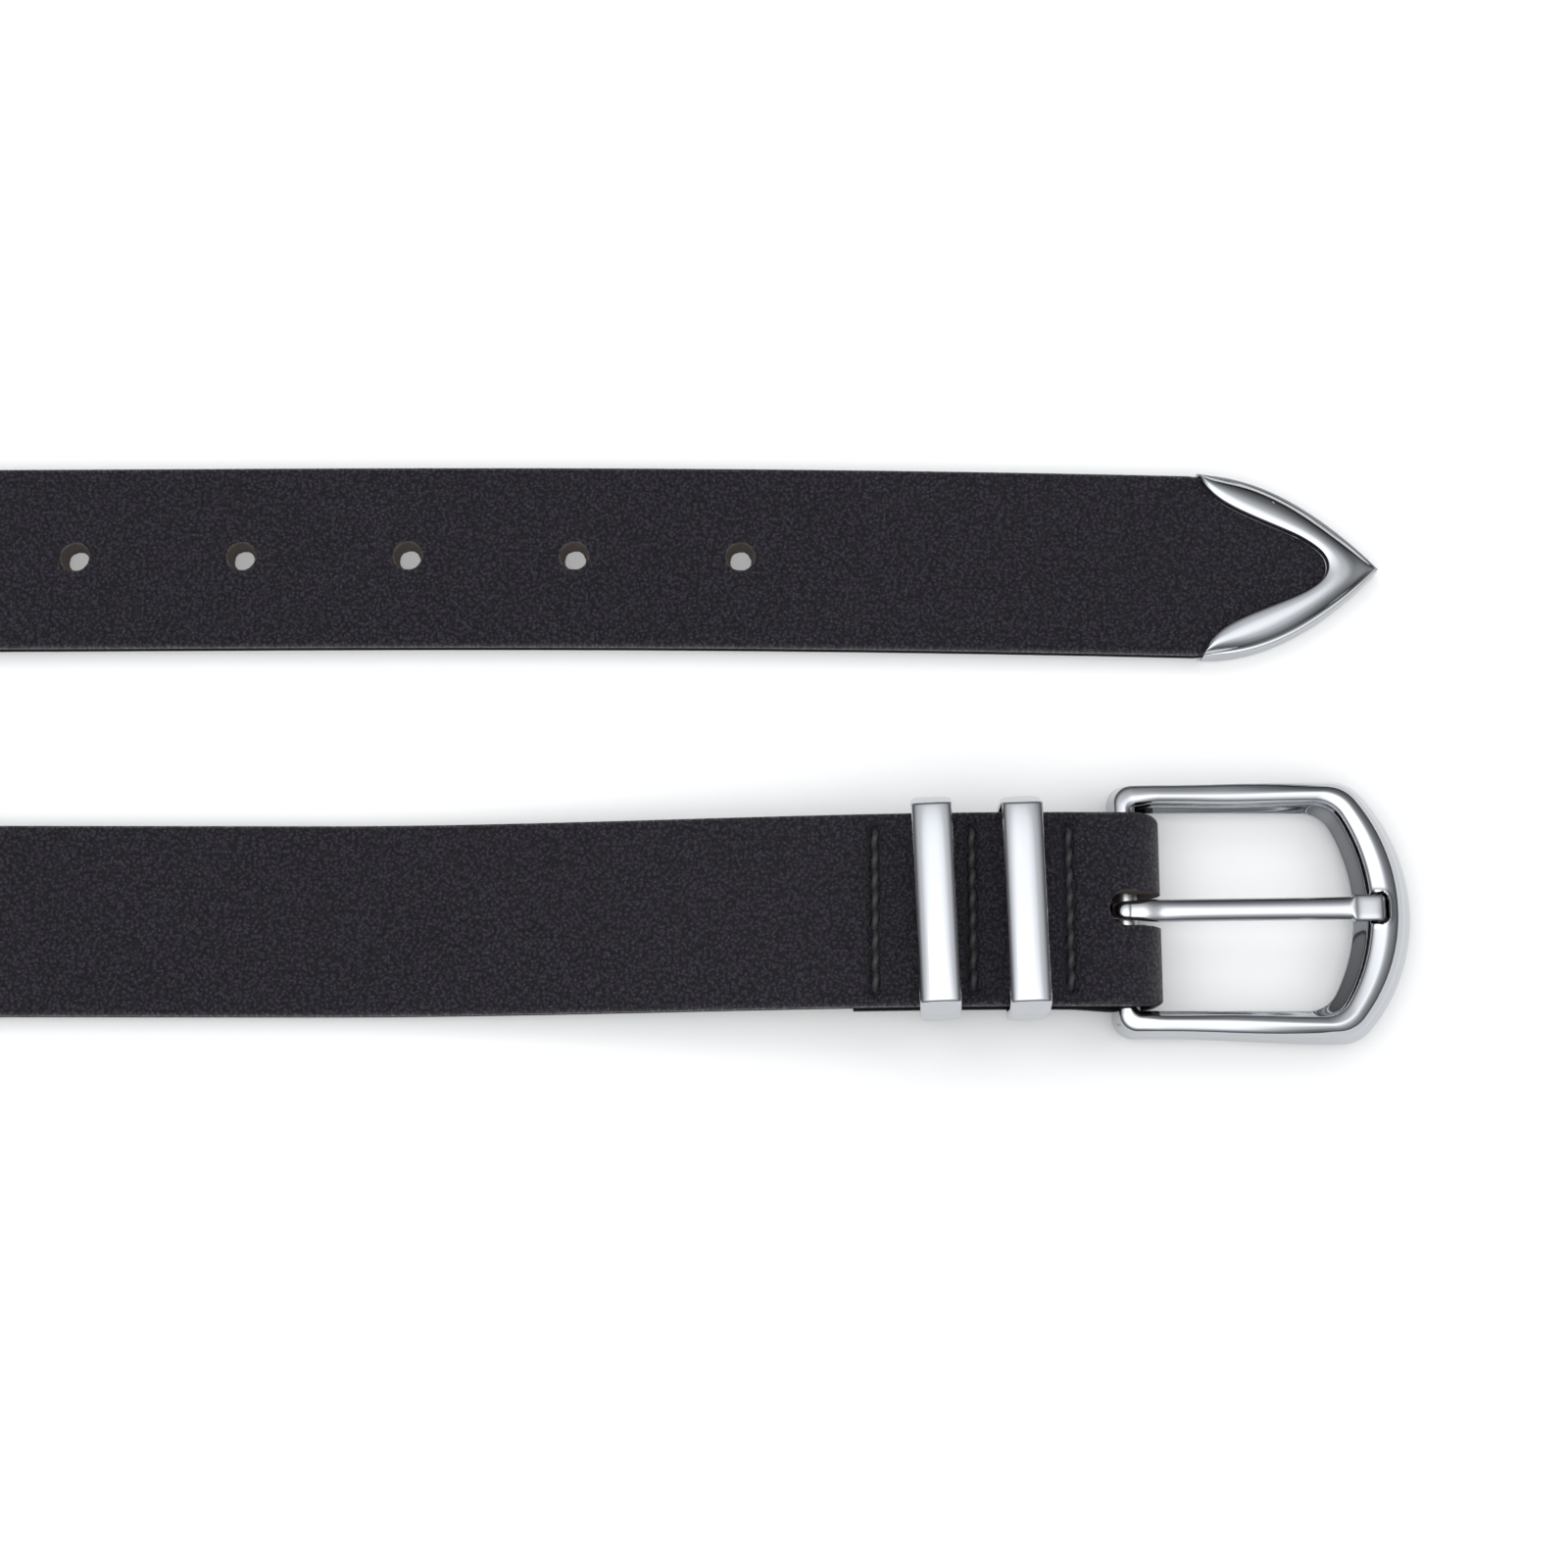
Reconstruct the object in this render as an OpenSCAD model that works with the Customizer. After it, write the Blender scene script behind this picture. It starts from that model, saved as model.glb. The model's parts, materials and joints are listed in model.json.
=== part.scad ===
// Leather belt lying in a loop: flat ends side by side, the rest standing on edge.
// Millimetres. +X along the flat ends towards the buckle and the tip, +Y across
// the strap towards the tail end, +Z up. The origin is the middle of the
// belt's outer box, on the surface that the belt lies on.

/* [Strap] */
// Width of the strap
strap_w = 28; // [24:0.5:36]
// Thickness of the grained outer leather
face_t = 1.2; // [0.8:0.1:2]
// Thickness of the backing leather
lining_t = 1.8; // [1.2:0.1:2.4]
// Belt size, from the buckle's bar to the middle hole along the strap
belt_size = 900; // [860:10:1300]

/* [Holes and tail] */
// Number of holes
hole_count = 5; // [3:2:7]
// Distance from hole to hole
hole_pitch = 25; // [20:0.5:30]
// Diameter of a hole
hole_d = 4.1; // [3.5:0.1:5]
// From the last hole to the point of the tip
last_hole_to_point = 96; // [85:1:130]

/* [Buckle end] */
// Length of the ply that is folded back under the strap, from the bar
return_len = 39.5; // [37:0.5:50]
// Thickness of the backing where it is pared down on the folded ply
skived_t = 0.4; // [0.3:0.1:0.8]
// From the bar to the first stitch row
first_row = 8.6; // [8:0.1:9.5]
// Distance from stitch row to stitch row
row_pitch = 13.9; // [13:0.1:15]
// Stitches in a row
stitch_count = 8; // [6:1:10]
// Length of one stitch
stitch_len = 2.95; // [2:0.05:3.2]
// Thickness of the thread
thread_d = 0.6; // [0.4:0.1:0.8]
// Width of the slot for the prong
slot_w = 5.4; // [5:0.1:8]

/* [Keepers] */
// Length of a keeper along the strap
keeper_len = 5.8; // [5:0.1:6.5]
// Thickness of a keeper's front bar
keeper_front_t = 1.6; // [1.2:0.1:2.2]
// Thickness of a keeper's back bar, between the plies
keeper_back_t = 1.2; // [1:0.1:1.4]
// Thickness of a keeper's ends
keeper_side_t = 1.3; // [1:0.1:2]
// Space left over the strap for the tail
keeper_room = 4.6; // [4.4:0.1:6]
// From the bar to the middle of each keeper
keeper_x = [15.3, 28];

/* [Buckle] */
// From the bar to the outside of the buckle's curved end
buckle_reach = 41.3; // [38:0.1:50]
// Width of the curved end's rim
end_rim = 6.5; // [5:0.1:8]
// Width of the arms' rims
arm_rim = 3.3; // [3:0.1:5]
// How much wider the buckle is at its curved end
flare = 1.4; // [0:0.1:3]
// Depth of the buckle
buckle_t = 5.4; // [5:0.1:6.5]
// Radius of the buckle's bar
bar_r = 1.7; // [1.5:0.05:2]
// Width of the prong
prong_w = 3.3; // [2.8:0.1:4]
// Thickness of the prong's metal around the bar
eye_wall = 1.14; // [1:0.02:1.2]

/* [Tip] */
// Length of the metal tip
tip_len = 27; // [24:0.5:32]
// Height of the tip's rim above the leather
tip_rise = 1.3; // [1:0.1:2]
// Thickness of the tip's side wall
tip_wall = 0.5; // [0.4:0.1:1]
// Thickness of the plate behind the tip
plate_t = 0.8; // [0.6:0.1:1]

/* [Lay] */
// From the middle of the belt's lay to the centreline of either flat end
limb_y = 27; // [24:0.5:40]
// From the bar to where the flat ends stop and start to turn on edge
flat_len = 175; // [172:1:220]
// Length over which the strap turns on edge
twist_len = 120; // [100:5:200]
// Radius of the bends that open the loop
open_r = 50; // [40:1:90]
// Angle of the bends that open the loop
open_a = 45; // [30:1:55]

/* [Hidden] */
$fn = 48;
EPS = 0.01;
moving_gap = 0.3;
running_gap = 0.06;
strap_t = face_t + lining_t;
half_w = strap_w / 2;

// the fold round the bar rests on the table
fold_r = bar_r + moving_gap;
bar_z = fold_r + strap_t;
lift_top = bar_z + fold_r;
lift_len = 118;
level_len = 10;
settle_len = 9;
back_play = 0.4;
ply_gap = keeper_back_t + 2 * back_play;

// where the strap's solids meet
split_x = -(flat_len - 5);

// the holes, counted from the tip
tip_point = 39.9;
last_hole_x = tip_point - last_hole_to_point;
middle_hole_x = last_hole_x - floor(hole_count / 2) * hole_pitch;

// plan of the loop: flat, twist, straight on edge, bend out, round, and back
round_r = (limb_y + open_r * (1 - cos(open_a))) / cos(open_a);
bend_len = open_r * open_a * PI / 180;
round_len = round_r * (180 + 2 * open_a) * PI / 180;
edge_len = (belt_size - 2 * flat_len - middle_hole_x - 2 * twist_len
    - 2 * bend_len - round_len) / 2;
back_x = -flat_len - twist_len - edge_len - (open_r + round_r) * sin(open_a) - round_r - strap_t / 2;
front_x = buckle_reach;
mid_x = (back_x + front_x) / 2;

// buckle sizes
side_gap = 0.9;
arm_in = half_w + side_gap;
arm_out = arm_in + arm_rim;
buckle_bottom = bar_z - buckle_t / 2 + 0.1;
crown_t = 1.4;
heel = 2.2;
heel_r = 3;
outer_r = 22.5;
outer_corner_r = 7;
inner_r = 34;
inner_corner_r = 4;
bar_sink = 1.6;
notch_w = prong_w + 1.3;
notch_len = 2.9;
notch_depth = 1.2;
eye_r = bar_r + running_gap + eye_wall;

// tip sizes
tip_x = tip_point - tip_len;
tip_half = half_w + 0.4;
tip_play = 0.05;
vee_apex = 8;
screw_r = 0.7;
screw_head_r = 1.2;
screw_y = 9.2;

function smooth(t) = let (c = min(max(t, 0), 1)) c * c * (3 - 2 * c);
function arc(cx, cy, r, a0, a1, n) =
    [for (i = [0:n]) let (a = a0 + (a1 - a0) * i / n) [cx + r * cos(a), cy + r * sin(a)]];
function bezier(a, b, c, d, n) =
    [for (i = [0:n]) let (t = i / n, s = 1 - t)
        s * s * s * a + 3 * s * s * t * b + 3 * s * t * t * c + t * t * t * d];
function mirrored(pts) = [for (i = [len(pts) - 1:-1:0]) [pts[i][0], -pts[i][1]]];

// height of the front ply's underside, and its slope
function lift(x) = lift_top * smooth((x + lift_len) / (lift_len - level_len));
function slope(x) = atan((lift(x + 0.5) - lift(x - 0.5)));
// height of the folded ply's upper side
function under(x) = let (t = smooth(-x / settle_len))
    (1 - t) * (bar_z - fold_r) + t * (lift(x) - ply_gap);

module buckle_limb() translate([-mid_x, -limb_y, 0]) children();
module tail_limb() translate([-mid_x, limb_y, 0]) children();
// places a shape on the front ply's underside at x, turned to its slope
module on_ply(x) translate([x, 0, lift(x)]) rotate([0, -slope(x), 0]) children();
// extrudes an outline drawn in X and Z to the strap's width
module across(w) translate([0, w / 2, 0]) rotate([90, 0, 0]) linear_extrude(w) children();
module rounded(w, h, r) {
    translate([-w / 2 + r, -h / 2]) square([w - 2 * r, h]);
    translate([-w / 2, -h / 2 + r]) square([w, h - 2 * r]);
    for (sx = [-1, 1], sy = [-1, 1]) translate([sx * (w / 2 - r), sy * (h / 2 - r)]) circle(r);
}

// ---- buckle end: a front run, the fold round the bar and the folded ply
run_x = concat([split_x], [for (i = [0:20]) -lift_len + lift_len * i / 20]);
return_x = [for (i = [0:16]) -return_len * i / 16];
function thin(x) = let (t = smooth(-x / settle_len)) (1 - t) * lining_t + t * skived_t;
// the three skins of the plies: k = 0 inside, 1 between leather and backing, 2 outside
function skin(k) = let (out = k == 0 ? 0 : k == 1 ? lining_t : strap_t)
    concat([for (x = run_x) [x, lift(x) + out]],
        [for (p = arc(0, bar_z, fold_r + out, 84, -84, 14)) p],
        [for (x = return_x)
            [x, under(x) - (k == 0 ? 0 : k == 1 ? thin(x) : thin(x) + face_t)]]);
function reversed(pts) = [for (i = [len(pts) - 1:-1:0]) pts[i]];

module prong_slot() {
    slot_back = eye_r + 0.7;
    translate([0, 0, -1]) linear_extrude(bar_z * 2 + 2) {
        translate([-slot_back + slot_w / 2, 0]) circle(d = slot_w);
        translate([-slot_back + slot_w / 2, -slot_w / 2]) square([slot_back + strap_t + bar_r, slot_w]);
    }
}

module buckle_end_ply(k) buckle_limb() difference() {
    across(strap_w) polygon(concat(skin(k + 1), reversed(skin(k))));
    prong_slot();
    if (k == 1) for (i = [0:2]) on_ply(-first_row - i * row_pitch) stitch_groove();
}

module buckle_end_face() color([0.14, 0.13, 0.15]) buckle_end_ply(1);
module buckle_end_lining() color([0.33, 0.29, 0.26]) buckle_end_ply(0);

// ---- stitch rows: thread along the face, legs through both plies, thread below
row_len = stitch_count * stitch_len;
groove_d = thread_d + 0.05;
ply_bottom = -ply_gap - skived_t - face_t;

module stitch_groove() translate([-thread_d, -row_len / 2 - thread_d, strap_t - groove_d])
    cube([2 * thread_d, row_len + 2 * thread_d, groove_d + 1]);

module stitch_row(i) buckle_limb() on_ply(-first_row - (i - 1) * row_pitch)
    color([0.05, 0.05, 0.06]) translate([-thread_d / 2, 0, 0]) {
        for (z = [strap_t - groove_d, ply_bottom])
            translate([0, -(row_len + thread_d) / 2, z]) cube([thread_d, row_len + thread_d, thread_d]);
        for (k = [0:stitch_count])
            translate([0, k * stitch_len - row_len / 2 - thread_d / 2, ply_bottom])
                cube([thread_d, thread_d, strap_t - groove_d - ply_bottom + EPS]);
    }

module stitch_row_1() stitch_row(1);
module stitch_row_2() stitch_row(2);
module stitch_row_3() stitch_row(3);

// ---- keepers: rectangular metal loops round the front ply
module keeper(i) {
    in_w = strap_w + 1;
    in_h = back_play + strap_t + keeper_room;
    out_w = in_w + 2 * keeper_side_t;
    out_h = in_h + keeper_back_t + keeper_front_t;
    buckle_limb() on_ply(-keeper_x[i]) color([0.82, 0.83, 0.85])
        translate([-keeper_len / 2, 0, -back_play]) rotate([90, 0, 90]) linear_extrude(keeper_len)
            difference() {
                translate([0, out_h / 2 - keeper_back_t]) rounded(out_w, out_h, 1);
                translate([0, in_h / 2]) rounded(in_w, in_h, 0.4);
            }
}

module keeper_1() keeper(0);
module keeper_2() keeper(1);

// ---- buckle: two arms and a curved end, open at the bar
// centre height of a corner of radius c that meets an end arc of radius r at reach x
function corner_x(x, r, c, h) = x - r + sqrt(pow(r - c, 2) - pow(h - c, 2));
function end_curve(x, r, c, h) = let (cx = corner_x(x, r, c, h), a = atan2(h - c, cx - x + r))
    concat(arc(cx, h - c, c, 90, a, 8), arc(x - r, 0, r, a, 0, 14));
module symmetric(half) polygon(concat(half, mirrored(half)));
module rim_outline(inset) symmetric(concat(
    arc(-heel + heel_r, arm_out - heel_r, heel_r - inset, 180, 90, 6),
    end_curve(buckle_reach - inset, outer_r - inset, outer_corner_r - inset, arm_out + flare / 2 - inset)));
module window_outline(inset) symmetric(concat(
    [[-2 * heel, arm_in + inset]],
    end_curve(buckle_reach - end_rim + inset, inner_r + inset, inner_corner_r + inset, arm_in + inset)));

module rim_layer(z, h, inset) translate([0, 0, z]) linear_extrude(h) difference() {
    rim_outline(inset);
    window_outline(inset / 2);
}

module buckle_bar_shape(r) translate([0, arm_in + bar_sink, bar_z]) rotate([90, 0, 0])
    cylinder(r = r, h = 2 * (arm_in + bar_sink));

module buckle_frame() buckle_limb() color([0.80, 0.81, 0.83]) difference() {
    union() {
        rim_layer(buckle_bottom, buckle_t - crown_t + EPS, 0);
        rim_layer(buckle_bottom + buckle_t - crown_t, crown_t * 0.6 + EPS, 0.4);
        rim_layer(buckle_bottom + buckle_t - crown_t * 0.4, crown_t * 0.4, 1);
    }
    buckle_bar_shape(bar_r);
    translate([buckle_reach - end_rim - 1, -notch_w / 2, buckle_bottom + buckle_t - notch_depth])
        cube([1 + notch_len, notch_w, notch_depth + 1]);
}

module buckle_bar() buckle_limb() color([0.7, 0.71, 0.73]) buckle_bar_shape(bar_r);

// ---- prong: an eye on the bar and a beam that ends on the curved end
module buckle_prong() {
    rest_z = buckle_bottom + buckle_t - notch_depth + moving_gap;
    end_x = buckle_reach - end_rim + notch_len - 0.6;
    beam = [[0, bar_z + eye_r - 0.1], [end_x - 8, rest_z + 1.7], [end_x - 3.6, rest_z + 1.5], [end_x, rest_z + 1.1],
        [end_x, rest_z], [end_x - 4.2, rest_z], [end_x - 8, rest_z - 0.5], [eye_r - 0.3, bar_z + 0.7], [0, bar_z]];
    buckle_limb() color([0.85, 0.86, 0.88]) difference() {
        union() {
            across(prong_w) polygon(beam);
            translate([0, prong_w / 2, bar_z]) rotate([90, 0, 0]) cylinder(r = eye_r, h = prong_w);
        }
        buckle_bar_shape(bar_r + running_gap);
    }
}

// ---- loop: the strap turns on edge, bends out and goes round
steps_twist = 30;
steps_bend = 8;
steps_round = 22;
edge_x = -flat_len - twist_len - edge_len;
round_x = edge_x - (open_r + round_r) * sin(open_a);

// one section of the strap: its place, the direction out of the loop, and its turn on edge
flat_sections = [for (i = [0:steps_twist])
    [[-flat_len - twist_len * i / steps_twist, -limb_y], [0, -1], 90 * smooth(i / steps_twist)]];
bend_sections = [for (i = [0:steps_bend]) let (b = open_a * i / steps_bend)
    [[edge_x - open_r * sin(b), -limb_y - open_r * (1 - cos(b))], [sin(b), -cos(b)], 90]];
round_sections = [for (i = [1:steps_round]) let (a = open_a - (90 + open_a) * i / steps_round)
    [[round_x + round_r * sin(a), -round_r * cos(a)], [sin(a), -cos(a)], 90]];
half_loop = concat([[[split_x, -limb_y], [0, -1], 0]], flat_sections, bend_sections, round_sections);

function section(s, n0, n1) = let (
    c = cos(s[2]), d = sin(s[2]),
    mid = [s[0][0], s[0][1], half_w * d + strap_t / 2 * c],
    out = [s[1][0], s[1][1], 0], up = [0, 0, 1],
    w = half_w * (out * c - up * d), n = up * c + out * d)
    [mid - w + n * n0, mid + w + n * n0, mid + w + n * n1, mid - w + n * n1];
function flipped(ring) = [for (p = ring) [p[0], -p[1], p[2]]];

module strap_sweep(n0, n1) {
    half = [for (s = half_loop) section(s, n0, n1)];
    count = len(half);
    rings = concat(half, [for (i = [count - 2:-1:0]) flipped(half[i])]);
    last = 4 * (len(rings) - 1);
    // the upper side's diagonals match the lower side's, so the two layers meet without overlap
    sides = [for (i = [0:len(rings) - 2], j = [0:3])
        let (a = 4 * i + j, b = 4 * i + (j + 1) % 4)
            each (j == 2 ? [[a, a + 4, b], [b, a + 4, b + 4]] : [[a, a + 4, b + 4], [a, b + 4, b]])];
    polyhedron([for (r = rings) each r],
        concat([[0, 1, 2], [0, 2, 3]], sides, [[last + 3, last + 2, last + 1], [last + 3, last + 1, last]]));
}

module loop_face() color([0.14, 0.13, 0.15]) translate([-mid_x, 0, 0])
    strap_sweep(lining_t - strap_t / 2, strap_t / 2);
module loop_lining() color([0.33, 0.29, 0.26]) translate([-mid_x, 0, 0])
    strap_sweep(-strap_t / 2, lining_t - strap_t / 2);

// ---- tail: the end with the holes, and its metal tip
function tip_curve(inset) = [for (i = [0:24]) let (u = i / 24)
    [tip_x + u * (tip_len - 1.6 * inset), (tip_half - inset) * (1 - u * u)]];
module tip_outline(inset) symmetric(tip_curve(inset));
leather_inset = tip_wall + tip_play;

module tail_outline() symmetric(concat([[split_x, half_w], [tip_x, half_w]], tip_curve(leather_inset)));
module screw_places() for (s = [-1, 1]) translate([tip_x + 11, s * screw_y, 0]) children();
module plate_outline() intersection() {
    tip_outline(leather_inset + 0.6);
    translate([tip_x + 1.5, -strap_w]) square([tip_len, 2 * strap_w]);
}

module tail_ply(z, h) tail_limb() difference() {
    translate([0, 0, z]) linear_extrude(h) tail_outline();
    for (i = [0:hole_count - 1])
        translate([last_hole_x - i * hole_pitch, 0, -1]) cylinder(d = hole_d, h = strap_t + 2);
    screw_places() translate([0, 0, -1]) cylinder(r = screw_r, h = strap_t + 2);
    translate([0, 0, -1]) linear_extrude(plate_t + 1) plate_outline();
}

module tail_face() color([0.14, 0.13, 0.15]) tail_ply(lining_t, face_t);
module tail_lining() color([0.33, 0.29, 0.26]) tail_ply(0, lining_t);

module tip_border(inset) {
    apex = tip_point - vee_apex;
    edge = concat(
        bezier([tip_x, tip_half], [tip_x + 2.3, tip_half - 4.8], [tip_x + 5.6, tip_half - 6], [apex - 4.4, 4.6], 10),
        bezier([apex - 4.4, 4.6], [apex - 2.3, 3.3], [apex, 2.2], [apex, 0], 8));
    difference() {
        tip_outline(inset);
        translate([inset / 2, 0]) symmetric(edge);
        translate([tip_x - 1, -strap_w]) square([1 + inset + EPS, 2 * strap_w]);
    }
}

module tip_cap() tail_limb() color([0.82, 0.83, 0.85]) difference() {
    union() {
        linear_extrude(strap_t + EPS) difference() {
            tip_outline(0);
            tip_outline(tip_wall);
        }
        translate([0, 0, strap_t]) linear_extrude(tip_rise * 0.7 + EPS) tip_border(0);
        translate([0, 0, strap_t + tip_rise * 0.7]) linear_extrude(tip_rise * 0.3) tip_border(0.5);
    }
    screw_places() cylinder(r = screw_r, h = strap_t + 0.9);
}

module tip_plate() tail_limb() color([0.7, 0.71, 0.73]) difference() {
    linear_extrude(plate_t) plate_outline();
    screw_places() {
        translate([0, 0, -1]) cylinder(r = screw_r, h = plate_t + 2);
        translate([0, 0, -1]) cylinder(r = screw_head_r, h = 1.5);
    }
}

module tip_screws() tail_limb() color([0.75, 0.76, 0.78]) screw_places() {
    cylinder(r = screw_head_r, h = 0.5);
    cylinder(r = screw_r, h = strap_t + 0.9);
}

buckle_end_face();
buckle_end_lining();
loop_face();
loop_lining();
tail_face();
tail_lining();
stitch_row_1();
stitch_row_2();
stitch_row_3();
keeper_1();
keeper_2();
buckle_frame();
buckle_bar();
buckle_prong();
tip_cap();
tip_plate();
tip_screws();
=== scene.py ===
import json
import math

import bmesh
import bpy
import numpy as np
from bpy.props import FloatProperty, FloatVectorProperty, IntProperty, PointerProperty
from bpy.types import Operator, Panel, PropertyGroup
from mathutils import Matrix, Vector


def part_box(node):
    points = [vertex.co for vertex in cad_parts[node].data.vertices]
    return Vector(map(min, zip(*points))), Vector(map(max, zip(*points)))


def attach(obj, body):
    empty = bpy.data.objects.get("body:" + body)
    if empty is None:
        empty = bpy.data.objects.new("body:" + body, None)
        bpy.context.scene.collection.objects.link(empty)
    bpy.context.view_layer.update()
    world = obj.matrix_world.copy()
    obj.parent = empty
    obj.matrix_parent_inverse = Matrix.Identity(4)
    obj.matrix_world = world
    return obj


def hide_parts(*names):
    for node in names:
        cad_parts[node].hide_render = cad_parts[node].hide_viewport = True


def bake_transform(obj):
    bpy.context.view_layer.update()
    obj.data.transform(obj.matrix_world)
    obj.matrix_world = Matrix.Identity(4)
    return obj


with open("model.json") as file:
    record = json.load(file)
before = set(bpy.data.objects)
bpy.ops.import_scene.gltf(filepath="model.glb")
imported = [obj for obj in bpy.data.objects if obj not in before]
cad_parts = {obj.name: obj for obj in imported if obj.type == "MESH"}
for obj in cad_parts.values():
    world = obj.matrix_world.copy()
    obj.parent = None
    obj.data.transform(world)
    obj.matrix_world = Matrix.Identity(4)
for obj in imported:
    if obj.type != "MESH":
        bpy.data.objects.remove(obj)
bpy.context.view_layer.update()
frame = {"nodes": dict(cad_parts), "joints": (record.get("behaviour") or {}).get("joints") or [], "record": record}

bl_info = {
    "name": "Leather belt",
    "version": (1, 0, 0),
    "blender": (4, 5, 0),
    "location": "3D View > Sidebar > Belt",
    "description": "Builds the leather, metal and thread of a belt round its CAD frame",
    "category": "Object",
}

MM = 0.001


def corners(node):
    """Lowest and highest corner of a CAD node as arrays."""
    low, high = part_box(node)
    return np.array(low), np.array(high)


def middle_x(node):
    """Where a CAD node's middle lies along the strap."""
    low, high = corners(node)
    return (low[0] + high[0]) / 2


def joint_named(name):
    """A joint of the frame by its name."""
    return next(j for j in frame["joints"] if j["name"] == name)


# ---- places read from the frame
BAR_LOW, BAR_HIGH = corners("buckle_bar")
BAR = (BAR_LOW + BAR_HIGH) / 2
BAR_R = (BAR_HIGH[2] - BAR_LOW[2]) / 2
TAIL_LOW, TAIL_HIGH = corners("tail_face")
STRAP_W = TAIL_HIGH[1] - TAIL_LOW[1]
STRAP_T = TAIL_HIGH[2]
LINING_T = TAIL_LOW[2]
FACE_T = STRAP_T - LINING_T
HALF_W = STRAP_W / 2
TAIL_Y = (TAIL_LOW[1] + TAIL_HIGH[1]) / 2
LIMB_Y = abs(TAIL_Y)
SPLIT_X = TAIL_LOW[0]
FOLD_R = BAR[2] - STRAP_T
LOOP_LOW, LOOP_HIGH = corners("loop_face")
TIP_LOW, TIP_HIGH = corners("tip_cap")
TIP_HALF = (TIP_HIGH[1] - TIP_LOW[1]) / 2
TIP_LEN = TIP_HIGH[0] - TIP_LOW[0]
TIP_EDGE_INSET = 0.00055
FRAME_LOW, FRAME_HIGH = corners("buckle_frame")
PRONG_LOW, PRONG_HIGH = corners("buckle_prong")
BORES = [m for m in frame["record"]["mounts"] if m["kind"] == "bore"]
HOLES = sorted(m["pos_m"] for m in BORES)
HOLE_R = BORES[0]["dims"]["r_mm"] * MM
STITCH_ROWS = sorted((middle_x(f"stitch_row_{i}") for i in (1, 2, 3)), reverse=True)


class BeltSizes(PropertyGroup):
    """Sizes of the details that the CAD frame leaves to the finished pieces"""
    lift_len: FloatProperty(name="Lift length",
                            description="From the bar to where the front ply leaves the table",
                            default=0.118, unit="LENGTH")
    level_len: FloatProperty(name="Level length", description="Level stretch of the front ply beside the bar",
                             default=0.010, unit="LENGTH")
    settle_len: FloatProperty(name="Settle length",
                              description="Where the folded ply closes up behind the bar", default=0.009,
                              unit="LENGTH")
    return_len: FloatProperty(name="Folded ply", description="Length of the ply folded back under the strap",
                              default=0.0395, unit="LENGTH")
    ply_gap: FloatProperty(name="Ply gap",
                           description="Gap between the plies that the keepers' back bars use",
                           default=0.002, unit="LENGTH")
    skived_t: FloatProperty(name="Skived backing", description="Backing thickness on the folded ply",
                            default=0.0004, unit="LENGTH")
    flat_len: FloatProperty(name="Flat length",
                            description="From the bar to where the strap starts to turn on edge",
                            default=0.175, unit="LENGTH")
    twist_len: FloatProperty(name="Twist length", description="Length over which the strap turns on edge",
                             default=0.120, unit="LENGTH")
    open_r: FloatProperty(name="Opening bend", description="Radius of the bends that open the loop",
                          default=0.050, unit="LENGTH")
    open_a: FloatProperty(name="Opening angle", description="Angle of the bends that open the loop",
                          default=math.radians(45), subtype="ANGLE")
    slot_w: FloatProperty(name="Slot width", description="Width of the slot for the prong",
                          default=0.0050, unit="LENGTH")
    drift: FloatProperty(name="Drift", description="How far the buckle limb lies off the straight",
                         default=0.0009, unit="LENGTH")
    bow: FloatProperty(name="Bow", description="How far the middle of the tail lies off the straight",
                       default=0.00045, unit="LENGTH")
    bow_fall: FloatProperty(name="Bow at the tip", description="How far the tail falls back by its tip",
                            default=0.00188, unit="LENGTH")
    slot_back: FloatProperty(name="Slot depth", description="From the bar back to the slot's round end",
                             default=0.0029, unit="LENGTH")
    slot_room: FloatProperty(name="Slot room",
                             description="How much deeper the slot is cut in the hidden backing",
                             default=0.0010, unit="LENGTH")
    # The backing drawn in round each hole's back is painted shade: dark raw edge where the floor would show
    # through the hole.
    hole_shade_taper: FloatProperty(name="Hole taper", description="How far the punched holes close up at the back",
                              default=0.0006, unit="LENGTH")
    prong_turn: FloatProperty(name="Prong turn", description="How far the loose prong sits turned on its bar",
                              default=math.radians(0.6), subtype="ANGLE")
    buckle_shift: FloatProperty(name="Buckle shift", description="How far the buckle has slid along its bar",
                                default=0.00045, unit="LENGTH")
    keeper_turn: FloatProperty(name="Keeper turn",
                               description="How far the loose keepers sit turned on the strap",
                               default=math.radians(1.6), subtype="ANGLE")
    keeper_shift: FloatProperty(name="Keeper shift",
                                description="How far the loose keepers sit from their places",
                                default=0.00016, unit="LENGTH")
    stitch_len: FloatProperty(name="Stitch length", description="Length of one stitch", default=0.00295,
                              unit="LENGTH")
    stitch_count: IntProperty(name="Stitches", description="Stitches in a row", default=8)
    thread_r: FloatProperty(name="Thread radius", description="Radius of the thread", default=0.00048,
                            unit="LENGTH")
    puff: FloatProperty(name="Puff", description="How far the leather swells between the stitch rows",
                        default=0.00022, unit="LENGTH")
    bend_before: FloatProperty(name="Bend before",
                               description="Where the tail starts to curve, before its hinge",
                               default=0.012, unit="LENGTH")
    bend_after: FloatProperty(name="Bend after",
                              description="Where the tail is straight again, after its hinge",
                              default=0.048, unit="LENGTH")
    grain: FloatProperty(name="Grain", description="Width of one pebble of the leather's grain",
                         default=0.00052, unit="LENGTH")


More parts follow.
